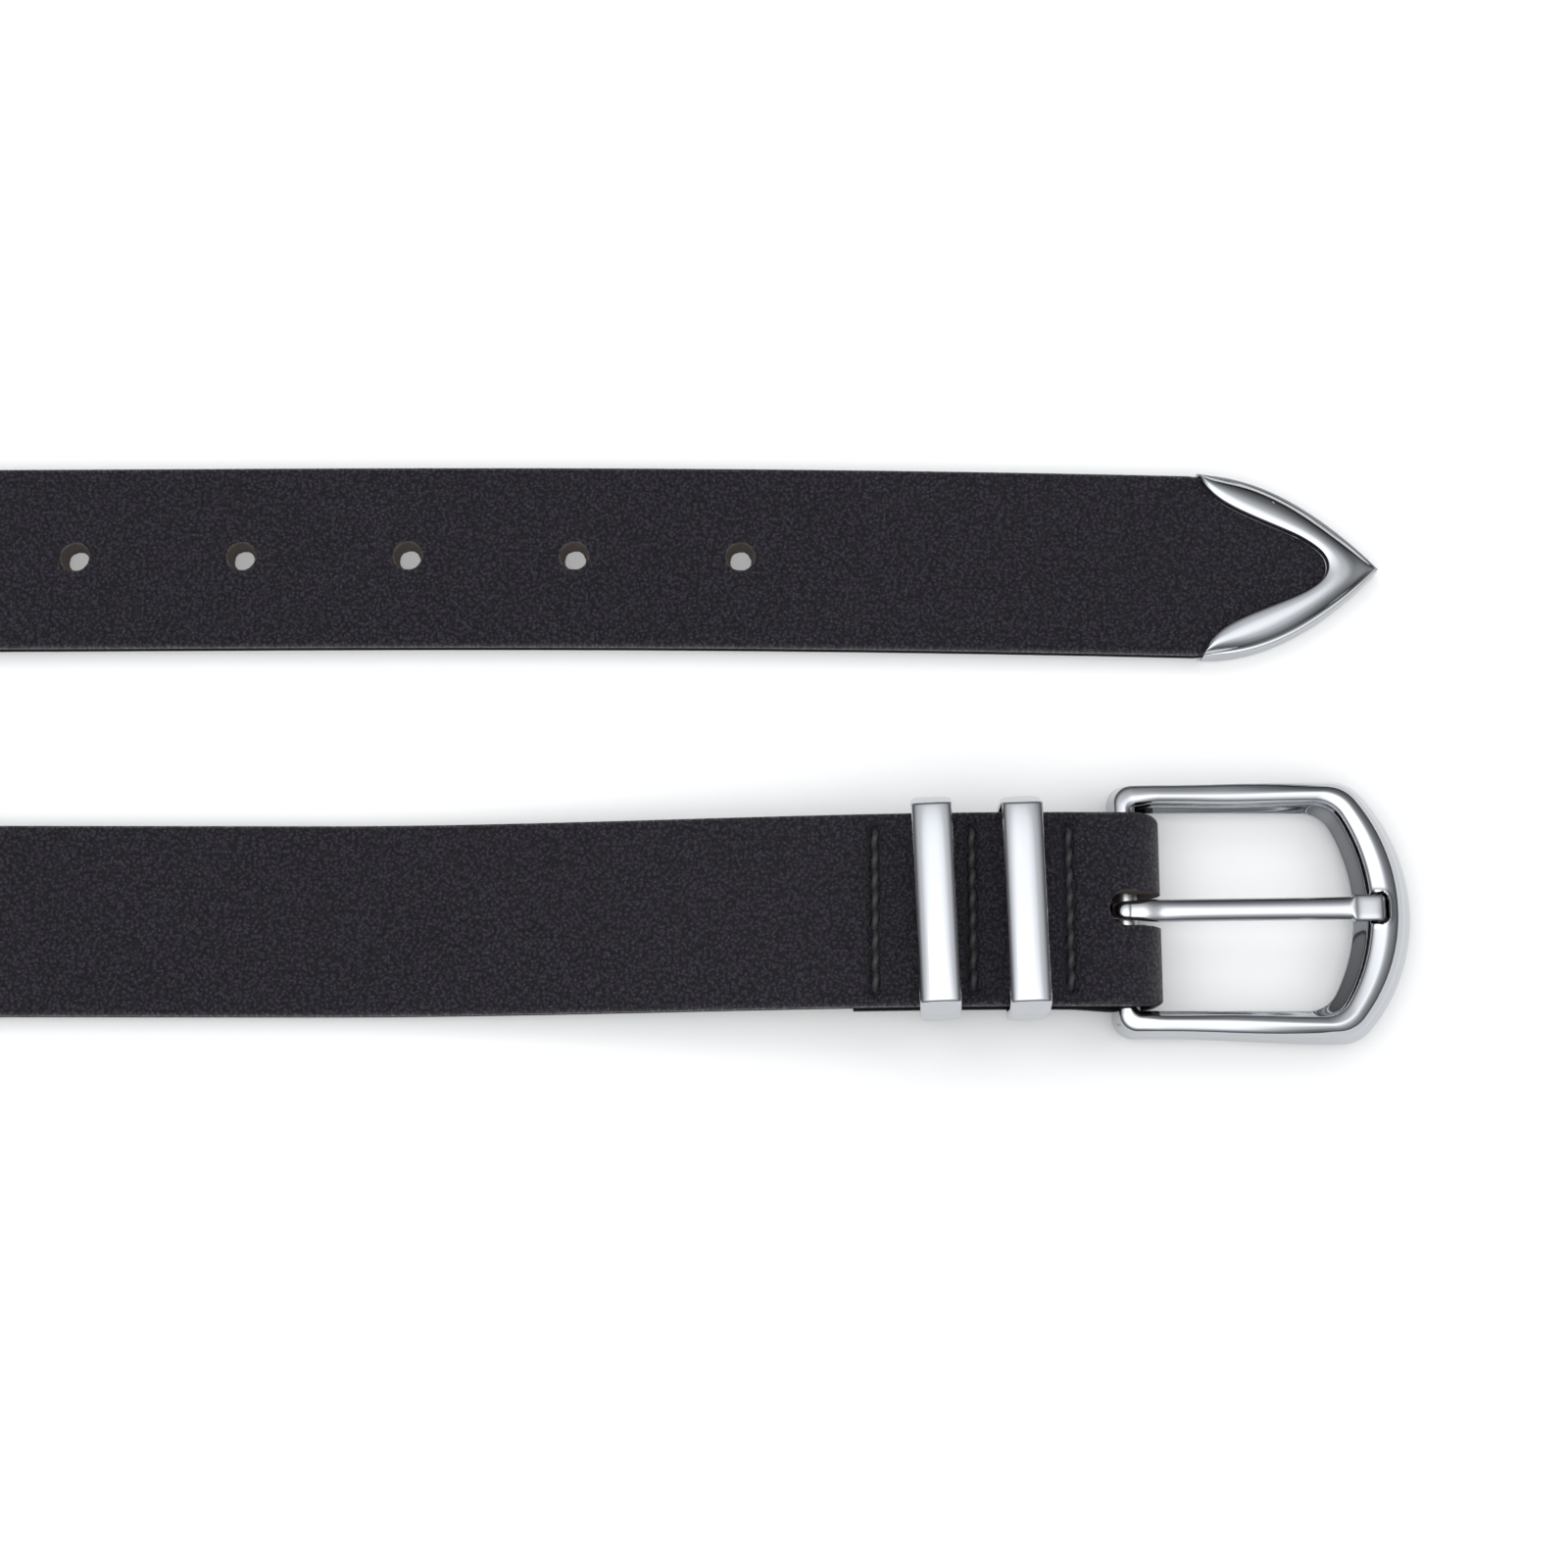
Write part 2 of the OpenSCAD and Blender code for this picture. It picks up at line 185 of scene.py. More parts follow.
class BeltColours(PropertyGroup):
    """Colours of the belt's materials"""
    leather: FloatVectorProperty(name="Leather", description="Outer leather", subtype="COLOR",
                                 default=(0.0380, 0.0325, 0.0470))
    backing: FloatVectorProperty(name="Backing", description="Backing leather", subtype="COLOR",
                                 default=(0.085, 0.062, 0.050))
    raw_edge: FloatVectorProperty(name="Raw edge", description="Punched edges of the leather",
                                  subtype="COLOR", default=(0.085, 0.072, 0.065))
    thread: FloatVectorProperty(name="Thread", description="Sewing thread", subtype="COLOR",
                                default=(0.030, 0.028, 0.032))
    metal: FloatVectorProperty(name="Polished metal", description="Buckle, prong, keepers and tip",
                               subtype="COLOR", default=(0.490, 0.502, 0.525))
    plain_metal: FloatVectorProperty(name="Plain metal", description="Bar, back plate and screws",
                                     subtype="COLOR", default=(0.55, 0.55, 0.56))


def sizes():
    """The scene's sizes."""
    return bpy.context.scene.belt_sizes


def colours():
    """The scene's colours."""
    return bpy.context.scene.belt_colours


# ---- arithmetic on arrays
ROUND_64 = np.linspace(0, 2 * math.pi, 65)[:-1]     # angles of 64 points round a circle


def smooth(t):
    """The cubic that eases from 0 to 1: three t squared less two t cubed, held outside 0 to 1."""
    t = np.clip(t, 0, 1)
    return t * t * (3 - 2 * t)


def bump(x, width):
    """A bell: e to the minus (x / width) squared."""
    return np.exp(-(x / width) ** 2)


def spline(points, count):
    """Catmull-Rom curve through the rows of points (any shape after the first axis), sampled evenly count
    times."""
    p = np.concatenate([2 * points[:1] - points[1:2], points, 2 * points[-1:] - points[-2:-1]])
    u = np.linspace(0, len(points) - 1, count)
    i = np.minimum(u.astype(int), len(points) - 2)
    t = (u - i).reshape((-1,) + (1,) * (points.ndim - 1))
    a, b, c, d = p[i], p[i + 1], p[i + 2], p[i + 3]
    return (b + t / 2 * (c - a) + t * t * (a - 2.5 * b + 2 * c - d / 2)
            + t ** 3 * (1.5 * (b - c) + (d - a) / 2))


def arc(cx, cy, r, a0, a1, count):
    """Points on a circle from angle a0 to a1 in degrees."""
    a = np.radians(np.linspace(a0, a1, count))
    return np.stack([cx + r * np.cos(a), cy + r * np.sin(a)], 1)


def straight(a, b, count):
    """Points on the line from a to b."""
    t = np.linspace(0, 1, count)[:, None]
    return np.array(a) * (1 - t) + np.array(b) * t


def joined(parts):
    """Stretches of a curve end to end, each without its first point after the first stretch."""
    return np.concatenate([parts[0]] + [p[1:] for p in parts[1:]])


def with_mirror(half, centre):
    """Half an outline followed by its mirror image across the middle line, moved to centre."""
    return np.concatenate([half, (half * [1, -1])[-2::-1]]) + centre


# ---- meshes from grids
def mesh_object(name, verts, faces, material, smooth_angle=40, maps=None):
    """A mesh object at the origin, smooth shaded but for edges sharper than smooth_angle degrees. maps gives
    each vertex's place on the piece's own UV maps."""
    mesh = bpy.data.meshes.new(name)
    mesh.from_pydata(verts, [], faces)
    mesh.validate()
    for title, (u, v) in (maps or {}).items():
        put_uv(mesh, title, u, v)
    finish_mesh(mesh, smooth_angle)
    obj = bpy.data.objects.new(name, mesh)
    bpy.context.scene.collection.objects.link(obj)
    for m in material if isinstance(material, list) else [material]:
        mesh.materials.append(m)
    return obj


def settle(obj, body, slot, *nodes):
    """Hides the CAD nodes that obj stands for and hangs obj on the empty of the body it rides on.
    Without a body, obj's placement is baked into its mesh instead. slot is not used."""
    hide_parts(*nodes)
    if body:
        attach(obj, body)
    else:
        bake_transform(obj)


def finish_mesh(mesh, smooth_angle):
    """Merges doubles, turns the faces of the closed mesh outwards and marks its sharp edges."""
    work = bmesh.new()
    work.from_mesh(mesh)
    bmesh.ops.remove_doubles(work, verts=work.verts, dist=1e-7)
    bmesh.ops.recalc_face_normals(work, faces=work.faces)
    work.to_mesh(mesh)
    work.free()
    mesh.polygons.foreach_set("use_smooth", np.ones(len(mesh.polygons), bool))
    mesh.set_sharp_from_angle(angle=math.radians(smooth_angle))


def tube_faces(rings, around, caps=True):
    """Quads between neighbouring rings of a closed section, and one face over each end."""
    i, j = np.meshgrid(np.arange(rings - 1), np.arange(around), indexing="ij")
    a, b = i * around + j, i * around + (j + 1) % around
    quads = np.stack([a, b, b + around, a + around], -1).reshape(-1, 4).tolist()
    if caps:
        last = (rings - 1) * around
        quads += [list(range(around))[::-1], [last + k for k in range(around)]]
    return quads


def put_uv(mesh, title, u, v):
    """Stores two values of each vertex as the UV map called title."""
    layer = mesh.uv_layers.new(name=title)
    loops = np.empty(len(mesh.loops), int)
    mesh.loops.foreach_get("vertex_index", loops)
    layer.data.foreach_set("uv", np.stack([u[loops], v[loops]], 1).astype(np.float32).ravel())


def between(inner, outer, z_low, section):
    """A surface between two matched outlines in a plane: each ring carries the section across from the inner
    outline to the outer one. section gives, for every ring, distances from the inner outline and heights."""
    across = outer - inner
    width = np.linalg.norm(across, axis=1, keepdims=True)
    way = across / width
    dist, height = section(width[:, 0])
    flat = inner[:, None, :] + way[:, None, :] * dist[:, :, None]
    return np.concatenate([flat, (z_low + height)[:, :, None]], 2)


# ---- the strap's run
def lift(x):
    """Height of the front ply's underside at x from the bar, easing from the table up to the top of the
    fold."""
    s = sizes()
    return (BAR[2] + FOLD_R) * smooth((x + s.lift_len) / (s.lift_len - s.level_len))


def under(x):
    """Height of the folded ply's upper side: from under the bar up to the keepers' gap below the front
    ply."""
    s = sizes()
    t = smooth(-x / s.settle_len)
    return (1 - t) * (BAR[2] - FOLD_R) + t * (lift(x) - s.ply_gap)


def loop_sections(side):
    """Half of the loop from the flat end on side (-1 for the buckle, +1 for the tail) to its far end.
    Returns the middle of the strap's thickness, the level direction out of the loop, and the turn on edge
    in radians."""
    s = sizes()
    round_r = (LIMB_Y + s.open_r * (1 - math.cos(s.open_a))) / math.cos(s.open_a)
    round_x = LOOP_LOW[0] + round_r + STRAP_T / 2
    edge_x = round_x + (s.open_r + round_r) * math.sin(s.open_a)
    flat_x = BAR[0] - s.flat_len
    twist = np.linspace(0, 1, 49)
    stand = np.linspace(0, 1, 10)[1:]
    ahead = np.zeros(1 + len(twist) + len(stand))
    bend = np.linspace(0, s.open_a, 20)[1:]
    turn = np.linspace(s.open_a, -math.pi / 2, 62)[1:]
    x = np.concatenate([[SPLIT_X], flat_x - s.twist_len * twist,
                        (flat_x - s.twist_len) + (edge_x - flat_x + s.twist_len) * stand,
                        edge_x - s.open_r * np.sin(bend), round_x + round_r * np.sin(turn)])
    y = np.concatenate([ahead - LIMB_Y, -LIMB_Y - s.open_r * (1 - np.cos(bend)), -round_r * np.cos(turn)])
    out_a = np.concatenate([ahead, bend, turn])
    phi = np.full(len(out_a), math.pi / 2)
    phi[:1 + len(twist)] = np.concatenate([[0], math.pi / 2 * smooth(twist)])
    z = HALF_W * np.sin(phi) + STRAP_T / 2 * np.cos(phi)
    out = np.stack([np.sin(out_a), -np.cos(out_a), np.zeros_like(out_a)], 1)
    mid = np.stack([x, y, z], 1)
    if side > 0:
        mid[:, 1] *= -1
        out[:, 1] *= -1
    return mid, out, phi


def oriented(mid, out, phi):
    """Strap sections from loop_sections: the inner skin's middle, the direction across and the direction
    out of the face. Across is cos phi outwards less sin phi up; out of the face is cos phi up plus sin
    phi outwards."""
    c, d = np.cos(phi)[:, None], np.sin(phi)[:, None]
    up = np.array([[0.0, 0.0, 1.0]])
    across = out * c - up * d
    normal = up * c + out * d
    return mid - normal * STRAP_T / 2, across, normal


def buckle_run():
    """The run from the folded ply's end, round the bar and back along the front ply to the loop's far
    end. Returns each section's inner-skin middle, across, normal, backing thickness, place along the
    front ply (x from the bar, growing round the fold, and not a number on the folded ply) and angle round
    the fold."""
    s = sizes()
    back = -s.return_len + s.return_len * np.linspace(0, 1, 70)
    turn = np.radians(np.linspace(-90, 90, 44))[1:-1]
    front = np.concatenate([np.arange(0, 0.046, 0.00035), np.linspace(0.0465, BAR[0] - SPLIT_X, 60)])
    xs = np.concatenate([back, FOLD_R * np.cos(turn), -front])
    zs = np.concatenate([under(back), BAR[2] + FOLD_R * np.sin(turn), lift(-front)])
    inner = np.stack([xs + BAR[0], np.full_like(xs, BAR[1]), zs], 1)
    heading = np.gradient(inner, axis=0)
    heading[len(back):len(back) + len(turn)] = np.stack([-np.sin(turn), 0 * turn, np.cos(turn)], 1)
    heading /= np.linalg.norm(heading, axis=1, keepdims=True)
    across = np.tile([0.0, -1.0, 0.0], (len(xs), 1))
    normal = np.cross(heading, across)
    t = smooth(-back / s.settle_len)
    backing = np.concatenate([(1 - t) * LINING_T + t * s.skived_t, np.full(len(turn) + len(front), LINING_T)])
    place = np.concatenate([np.full(len(back), np.nan), (math.pi / 2 - turn) * (FOLD_R + STRAP_T), -front])
    fold = np.concatenate([np.full(len(back), -90.0), np.degrees(turn), np.full(len(front), 90.0)])
    q, w, n = oriented(*loop_sections(-1))
    inner, across, normal = (np.concatenate([a, b[1:]]) for a, b in ((inner, q), (across, w), (normal, n)))
    inner[:, 1] += drift(inner[:, 0])
    more = len(q) - 1
    return (inner, across, normal, np.concatenate([backing, np.full(more, LINING_T)]),
            np.concatenate([place, np.full(more, -1.0)]), np.concatenate([fold, np.full(more, 90.0)]))


def bow(x):
    """The tail's slight sideways bow at x: a small swell along its middle, falling away towards the tip
    with the square of the way."""
    s = sizes()
    along = x - BAR[0]
    return (s.bow * smooth((along + 0.190) / 0.100)
            - s.bow_fall * (np.maximum(along + 0.088, 0) / 0.128) ** 2)


def drift(x):
    """The buckle limb's slight sideways drift at x, growing away from the buckle and gone before the loop."""
    along = x - BAR[0]
    return -sizes().drift * smooth((-along - 0.010) / 0.110) * smooth((along + 0.285) / 0.100)


def tail_run():
    """The run from the loop's far end along the tail to the tip's point."""
    q, w, n = (a[::-1] for a in oriented(*loop_sections(1)))
    tip_start, tip_end = TIP_LOW[0], TIP_HIGH[0] - TIP_EDGE_INSET * 1.6
    flat = np.concatenate([np.linspace(SPLIT_X, tip_start, 150)[1:],
                           tip_start + (tip_end - tip_start) * np.sin(np.linspace(0, math.pi / 2, 40))[1:]])
    inner = np.stack([flat, TAIL_Y + bow(flat), 0 * flat], 1)
    return (np.concatenate([q, inner]), np.concatenate([w, np.tile([0.0, 1.0, 0.0], (len(flat), 1))]),
            np.concatenate([n, np.tile([0.0, 0.0, 1.0], (len(flat), 1))]))


def tail_half_widths(x):
    """Half width of the tail's leather at x: the strap's as far as the tip, and inside the tip the tip's
    half width times one less the square of the way to the point, drawn in by the tip's walls."""
    u = np.clip((x - TIP_LOW[0]) / (TIP_LEN - 1.6 * TIP_EDGE_INSET), 0, 1)
    pointed = (TIP_HALF - TIP_EDGE_INSET) * (1 - u * u)
    return np.where(x < TIP_LOW[0], HALF_W, np.clip(pointed, 0.0001, HALF_W))


def strap_section(half, low, high, r_low, r_high):
    """Section of one layer for every ring, as places across and heights: a rounded rectangle, twice half
    wide, from low to high, with its own corner radius below and above. Corners shrink where the strap
    comes to a point."""
    across = np.linspace(-1, 1, 75)
    fewer = across[::-3]
    a = np.radians(np.linspace(75, 0, 6))
    half, low, high = half[:, None], low[:, None], high[:, None]
    shrink = np.minimum(half / HALF_W * 3, 1)
    r0, r1 = r_low * shrink, r_high * shrink
    right = [(half - r1 + r1 * np.cos(a), high - r_high + r_high * np.sin(a)),
             (half - r0 + r0 * np.cos(a[::-1]), low + r_low - r_low * np.sin(a[::-1]))]
    left = [(-w[:, ::-1], h[:, ::-1]) for w, h in right[::-1]]
    flat = [((half - r1) * across, high + 0 * across), ((half - r0) * fewer, low + 0 * fewer)]
    parts = [flat[0], *right, flat[1], *left]
    return np.concatenate([w for w, _ in parts], 1), np.concatenate([h for _, h in parts], 1)


def layer(name, run, half, low, high, radii, relief, materials):
    """One layer of the strap as a closed tube: strap_section carried along the run, which is (inner,
    across, normal). low and high are heights above the inner skin. The relief, a height for each place
    across, is added in full to the upper side and fades out down to the lower one. The UV map "run" holds
    the length along the strap and the place across, and "pressed" how far the relief is sunk, out of 0.45
    mm."""
    inner, across, normal = run
    w, h = strap_section(half, low, high, *radii)
    share = np.clip((h - low[:, None]) / (high - low)[:, None], 0, 1)
    raised = 0 * w if relief is None else relief(w) * share
    h = h + raised
    verts = inner[:, None] + across[:, None] * w[..., None] + normal[:, None] * h[..., None]
    skin = inner + normal * high[:, None]
    step = np.linalg.norm(np.diff(skin, axis=0), axis=1)
    run_along = np.concatenate([[0], np.cumsum(step)])
    around = w.shape[1]
    # "pressed" darkens the leather's colour in the stitch grooves and dimples as painted shade
    return mesh_object(name, verts.reshape(-1, 3), tube_faces(len(inner), around), materials, 60,
                       {"run": (np.repeat(run_along, around), w.ravel()),
                        "pressed": (np.clip(-raised.ravel() / 0.00045, 0, 1), 0 * w.ravel())})


def paint_sides(obj, limit):
    """Gives a layer's second material to its sides: the faces that reach further across than limit."""
    mesh = obj.data
    run = mesh.uv_layers["run"].data
    uv = np.empty(2 * len(run))
    run.foreach_get("uv", uv)
    start = np.empty(len(mesh.polygons), int)
    mesh.polygons.foreach_get("loop_start", start)
    side = np.maximum.reduceat(np.abs(uv[1::2]), start) > limit
    mesh.polygons.foreach_set("material_index", side.astype(np.int32))


def cutter(name, outline, z_low, z_high, flare, material, taper=0.0):
    """A closed upright cutter: the outline with small uneven waves, a sum of three sines round it,
    widened by flare (how wide, how deep) at both faces of the strap to break the cut's edges, and drawn
    in by taper through the backing down to its back. Drawn in, the backing's dark raw edge fills the back
    of a hole where the floor would show, as painted shade inside the hole."""
    wide, deep = flare
    levels = ((z_low - 0.003, wide * 1.6), (z_low, wide), (z_low + deep * 0.35, wide * 0.4),
              (z_low + deep, 0), ((z_low * 2 + z_high) / 3, 0), ((z_low + z_high * 2) / 3, 0),
              (z_high - deep, 0), (z_high - deep * 0.35, wide * 0.4), (z_high, wide),
              (z_high + 0.003, wide * 1.6))
    centre = outline.mean(0)
    tangent = np.roll(outline, -1, 0) - np.roll(outline, 1, 0)
    out = np.stack([tangent[:, 1], -tangent[:, 0]], 1) / np.linalg.norm(tangent, axis=1, keepdims=True)
    out *= np.sign(((outline - centre) * out).sum(1).mean())
    k = np.arange(len(outline)) / len(outline) * 2 * math.pi
    rings = []
    for n, (z, wider) in enumerate(levels):
        wave = (0.000035 * np.sin(5 * k + n) + 0.00003 * np.sin(13 * k + 2.1 * n)
                + 0.00002 * np.sin(23 * k + n * n))
        # the hole's back drawn in: dark raw edge standing in as painted shade inside the hole
        closed_up = taper * np.clip(1 - z / LINING_T, 0, 1)
        ring = outline + out * (wider + wave - closed_up)[:, None]
        rings.append(np.concatenate([ring, np.full((len(ring), 1), z)], 1))
    verts = np.concatenate(rings)
    return mesh_object(name, verts, tube_faces(len(levels), len(outline)), material, 60,
                       {"run": verts[:, :2].T})


def cut(obj, cutters):
    """Takes the cutters out of obj, keeps their material on the cut's walls, and leaves no modifier
    behind."""
    for c in cutters:
        m = obj.modifiers.new("cut", "BOOLEAN")
        m.operation = "DIFFERENCE"
        m.solver = "EXACT"
        m.material_mode = "TRANSFER"
        m.object = c
    graph = bpy.context.evaluated_depsgraph_get()
    mesh = bpy.data.meshes.new_from_object(obj.evaluated_get(graph), depsgraph=graph)
    obj.modifiers.clear()
    old = obj.data
    obj.data = mesh
    mesh.name = old.name
    bpy.data.meshes.remove(old)
    for c in cutters:
        bpy.data.meshes.remove(c.data)
    mesh.polygons.foreach_set("use_smooth", np.ones(len(mesh.polygons), bool))
    mesh.set_sharp_from_angle(angle=math.radians(50))


def hole_cutters(material):
    """A round cutter for each hole of the tail, with a broken edge, closing up through the backing so
    that dark raw edge stands in as painted shade inside the hole.
    """
    made = []
    for i, (x, y, _) in enumerate(HOLES):
        ring = arc(x, y + bow(x), HOLE_R, 0, 360, 73)[:-1]
        made.append(cutter(f"hole_cutter_{i}", ring, 0.0, STRAP_T, (0.00022, 0.0004), material,
                           sizes().hole_shade_taper))
    return made


def slot_cutter(material, deeper=0.0):
    """A cutter for the prong's slot through the fold: a half round at the back, open towards the window.
    deeper moves the back away from the bar."""
    s = sizes()
    r = s.slot_w / 2
    back = BAR[0] - s.slot_back - deeper + r
    front = BAR[0] + 0.009
    ring = joined([arc(back, BAR[1], r, 90, 270, 25),
                   straight((back, BAR[1] - r), (front, BAR[1] - r), 24),
                   straight((front, BAR[1] - r), (front, BAR[1] + r), 8),
                   straight((front, BAR[1] + r), (back, BAR[1] + r), 24)])[:-1]
    return cutter("slot_cutter", ring, -0.001, BAR[2] + FOLD_R + STRAP_T, (0.00012, 0.0004), material)


# ---- materials
def node_material(name):
    """A new material with its node tree, its shader and a function that adds nodes."""
    material = bpy.data.materials.new(name)
    material.use_nodes = True
    tree = material.node_tree
    shader = tree.nodes["Principled BSDF"]

    def add(kind, **values):
        node = tree.nodes.new(kind)
        for key, value in values.items():
            if key in node.inputs:
                node.inputs[key].default_value = value
            else:
                setattr(node, key, value)
        return node

    return material, shader, add, tree.links.new


def math_node(add, link, operation, a, b):
    """The outcome of an operation on two values, each a number or another node's outcome."""
    node = add("ShaderNodeMath", operation=operation)
    for socket, value in zip(node.inputs, (a, b)):
        if isinstance(value, (int, float)):
            socket.default_value = value
        else:
            link(value, socket)
    return node.outputs[0]


def blend_colours(add, link, factor, a, b):
    """Colour a where factor is 0 and b where it is 1."""
    node = add("ShaderNodeMix", data_type="RGBA")
    link(factor, node.inputs["Factor"])
    node.inputs["A"].default_value = (*a, 1)
    node.inputs["B"].default_value = (*b, 1)
    return node.outputs["Result"]


def strap_vector(add, link, grain):
    """The strap's run and place across, scaled so that one unit is one pebble of the grain."""
    place = add("ShaderNodeUVMap", uv_map="run")
    scale = add("ShaderNodeVectorMath", operation="SCALE")
    scale.inputs["Scale"].default_value = 1 / grain
    link(place.outputs[0], scale.inputs[0])
    return scale.outputs[0]


def object_vector(add, link, grain):
    """The place on the piece, scaled so that one unit is grain."""
    place = add("ShaderNodeTexCoord")
    scale = add("ShaderNodeVectorMath", operation="SCALE")
    scale.inputs["Scale"].default_value = 1 / grain
    link(place.outputs["Object"], scale.inputs[0])
    return scale.outputs[0]


def leather_material():
    """Black leather with a fine pebbled grain: warped round cells with rougher valleys, small
    pores and a slow change of gloss. Its colour holds painted light: pebble tops lighter as painted
    highlight, and the valleys, stitch grooves and dimples darker as painted shade."""
    material, shader, add, link = node_material("grained leather")
    base = np.array(colours().leather)
    at = strap_vector(add, link, sizes().grain)
    warp = add("ShaderNodeTexNoise", Scale=0.9, Detail=2.0)
    link(at, warp.inputs["Vector"])
    bend = add("ShaderNodeVectorMath", operation="MULTIPLY_ADD")
    bend.inputs[1].default_value = (0.9, 0.9, 0.9)
    link(warp.outputs["Color"], bend.inputs[0])
    link(at, bend.inputs[2])
    cells = add("ShaderNodeTexVoronoi", feature="SMOOTH_F1", Scale=1.0, Smoothness=0.25)
    link(bend.outputs[0], cells.inputs["Vector"])
    small = add("ShaderNodeTexVoronoi", feature="F1", Scale=2.3)
    link(bend.outputs[0], small.inputs["Vector"])
    pores = add("ShaderNodeTexNoise", Scale=4.0, Detail=3.0, Roughness=0.6)
    link(at, pores.inputs["Vector"])
    slow = add("ShaderNodeTexNoise", Scale=0.035, Detail=3.0)
    link(at, slow.inputs["Vector"])
    valley = math_node(add, link, "MULTIPLY", cells.outputs["Distance"], 1.3)
    height = math_node(add, link, "SUBTRACT",
                       math_node(add, link, "MULTIPLY", pores.outputs["Fac"], 0.35),
                       math_node(add, link, "ADD", valley,
                                 math_node(add, link, "MULTIPLY", small.outputs["Distance"], 0.45)))
    lift_node = add("ShaderNodeBump", Strength=1.0, Distance=0.00060)
    link(height, lift_node.inputs["Height"])
    link(lift_node.outputs[0], shader.inputs["Normal"])
    # how deep each point lies between the pebbles, for the painted shade below
    depth = add("ShaderNodeMapRange")
    depth.inputs["From Min"].default_value = 0.18
    depth.inputs["From Max"].default_value = 0.80
    link(valley, depth.inputs["Value"])
    # how far the stitch grooves and dimples are sunk, darkened below as painted shade
    pressed = add("ShaderNodeSeparateXYZ")
    link(add("ShaderNodeUVMap", uv_map="pressed").outputs[0], pressed.inputs[0])
    # painted shade mask: the deeper of the grain's valleys and the sunk stitch grooves and dimples; it darkens the
    # colour as painted shade and roughens the gloss
    painted_shade_mask = math_node(add, link, "MAXIMUM", depth.outputs[0], pressed.outputs["X"])
    # painted highlight and shade: pebble tops lighter, valleys, stitch grooves and dimples darker
    colour = blend_colours(add, link, painted_shade_mask, tuple(base * 1.55), tuple(base * 0.32))
    link(colour, shader.inputs["Base Color"])
    gloss = add("ShaderNodeMapRange")
    gloss.inputs["To Min"].default_value = 0.24
    gloss.inputs["To Max"].default_value = 0.52
    link(math_node(add, link, "ADD", math_node(add, link, "MULTIPLY", painted_shade_mask, 0.5),
                   math_node(add, link, "MULTIPLY", slow.outputs["Fac"], 0.5)), gloss.inputs["Value"])
    link(gloss.outputs[0], shader.inputs["Roughness"])
    shader.inputs["Specular IOR Level"].default_value = 0.50
    shader.inputs["Sheen Weight"].default_value = 0.01
    shader.inputs["Sheen Roughness"].default_value = 0.5
    return material


def edge_paint_material():
    """Black paint on the cut sides of the leather, a little uneven."""
    material, shader, add, link = node_material("edge paint")
    at = object_vector(add, link, 0.0012)
    rough = add("ShaderNodeTexNoise", Scale=1.0, Detail=4.0)
    link(at, rough.inputs["Vector"])
    colour = blend_colours(add, link, rough.outputs["Fac"], (0.006, 0.0055, 0.0065), (0.014, 0.012, 0.013))
    link(colour, shader.inputs["Base Color"])
    lift_node = add("ShaderNodeBump", Strength=0.35, Distance=0.0002)
    link(rough.outputs["Fac"], lift_node.inputs["Height"])
    link(lift_node.outputs[0], shader.inputs["Normal"])
    shader.inputs["Roughness"].default_value = 0.8
    shader.inputs["Specular IOR Level"].default_value = 0.03
    return material


def fibre_material(name, colour, contrast):
    """Matt bonded fibre: short tangled fibres over slow mottling, rough all over."""
    material, shader, add, link = node_material(name)
    at = object_vector(add, link, 0.0008)
    fibres = add("ShaderNodeTexNoise", Scale=1.6, Detail=6.0, Roughness=0.7, Distortion=1.6)
    mottle = add("ShaderNodeTexNoise", Scale=0.12, Detail=3.0)
    for node in (fibres, mottle):
        link(at, node.inputs["Vector"])
    factor = math_node(add, link, "ADD", math_node(add, link, "MULTIPLY", fibres.outputs["Fac"], 0.7),
                       math_node(add, link, "MULTIPLY", mottle.outputs["Fac"], 0.3))
    base = np.array(colour)
    link(blend_colours(add, link, factor, tuple(base * (1 - contrast)), tuple(base * (1 + contrast))),
         shader.inputs["Base Color"])
    lift_node = add("ShaderNodeBump", Strength=0.6, Distance=0.0003)
    link(fibres.outputs["Fac"], lift_node.inputs["Height"])
    link(lift_node.outputs[0], shader.inputs["Normal"])
    shader.inputs["Roughness"].default_value = 0.9
    shader.inputs["Specular IOR Level"].default_value = 0.05
    return material


def metal_material(name, colour, rough, scratch, grain):
    """Metal with a slightly uneven polish: fine noise moves the roughness and barely lifts the surface."""
    material, shader, add, link = node_material(name)
    at = object_vector(add, link, grain)
    haze = add("ShaderNodeTexNoise", Scale=0.2, Detail=4.0)
    lines = add("ShaderNodeTexNoise", Scale=1.0, Detail=5.0, Roughness=0.7)
    for node in (haze, lines):
        link(at, node.inputs["Vector"])
    gloss = add("ShaderNodeMapRange")
    gloss.inputs["To Min"].default_value = rough * 0.7
    gloss.inputs["To Max"].default_value = rough * 1.4
    link(haze.outputs["Fac"], gloss.inputs["Value"])
    link(gloss.outputs[0], shader.inputs["Roughness"])
    lift_node = add("ShaderNodeBump", Strength=scratch, Distance=0.00004)
    link(lines.outputs["Fac"], lift_node.inputs["Height"])
    link(lift_node.outputs[0], shader.inputs["Normal"])
    tint = np.array(colour)
    link(blend_colours(add, link, haze.outputs["Fac"], tuple(tint * 0.97), tuple(np.minimum(tint * 1.03, 1))),
         shader.inputs["Base Color"])
    shader.inputs["Metallic"].default_value = 1.0
    return material


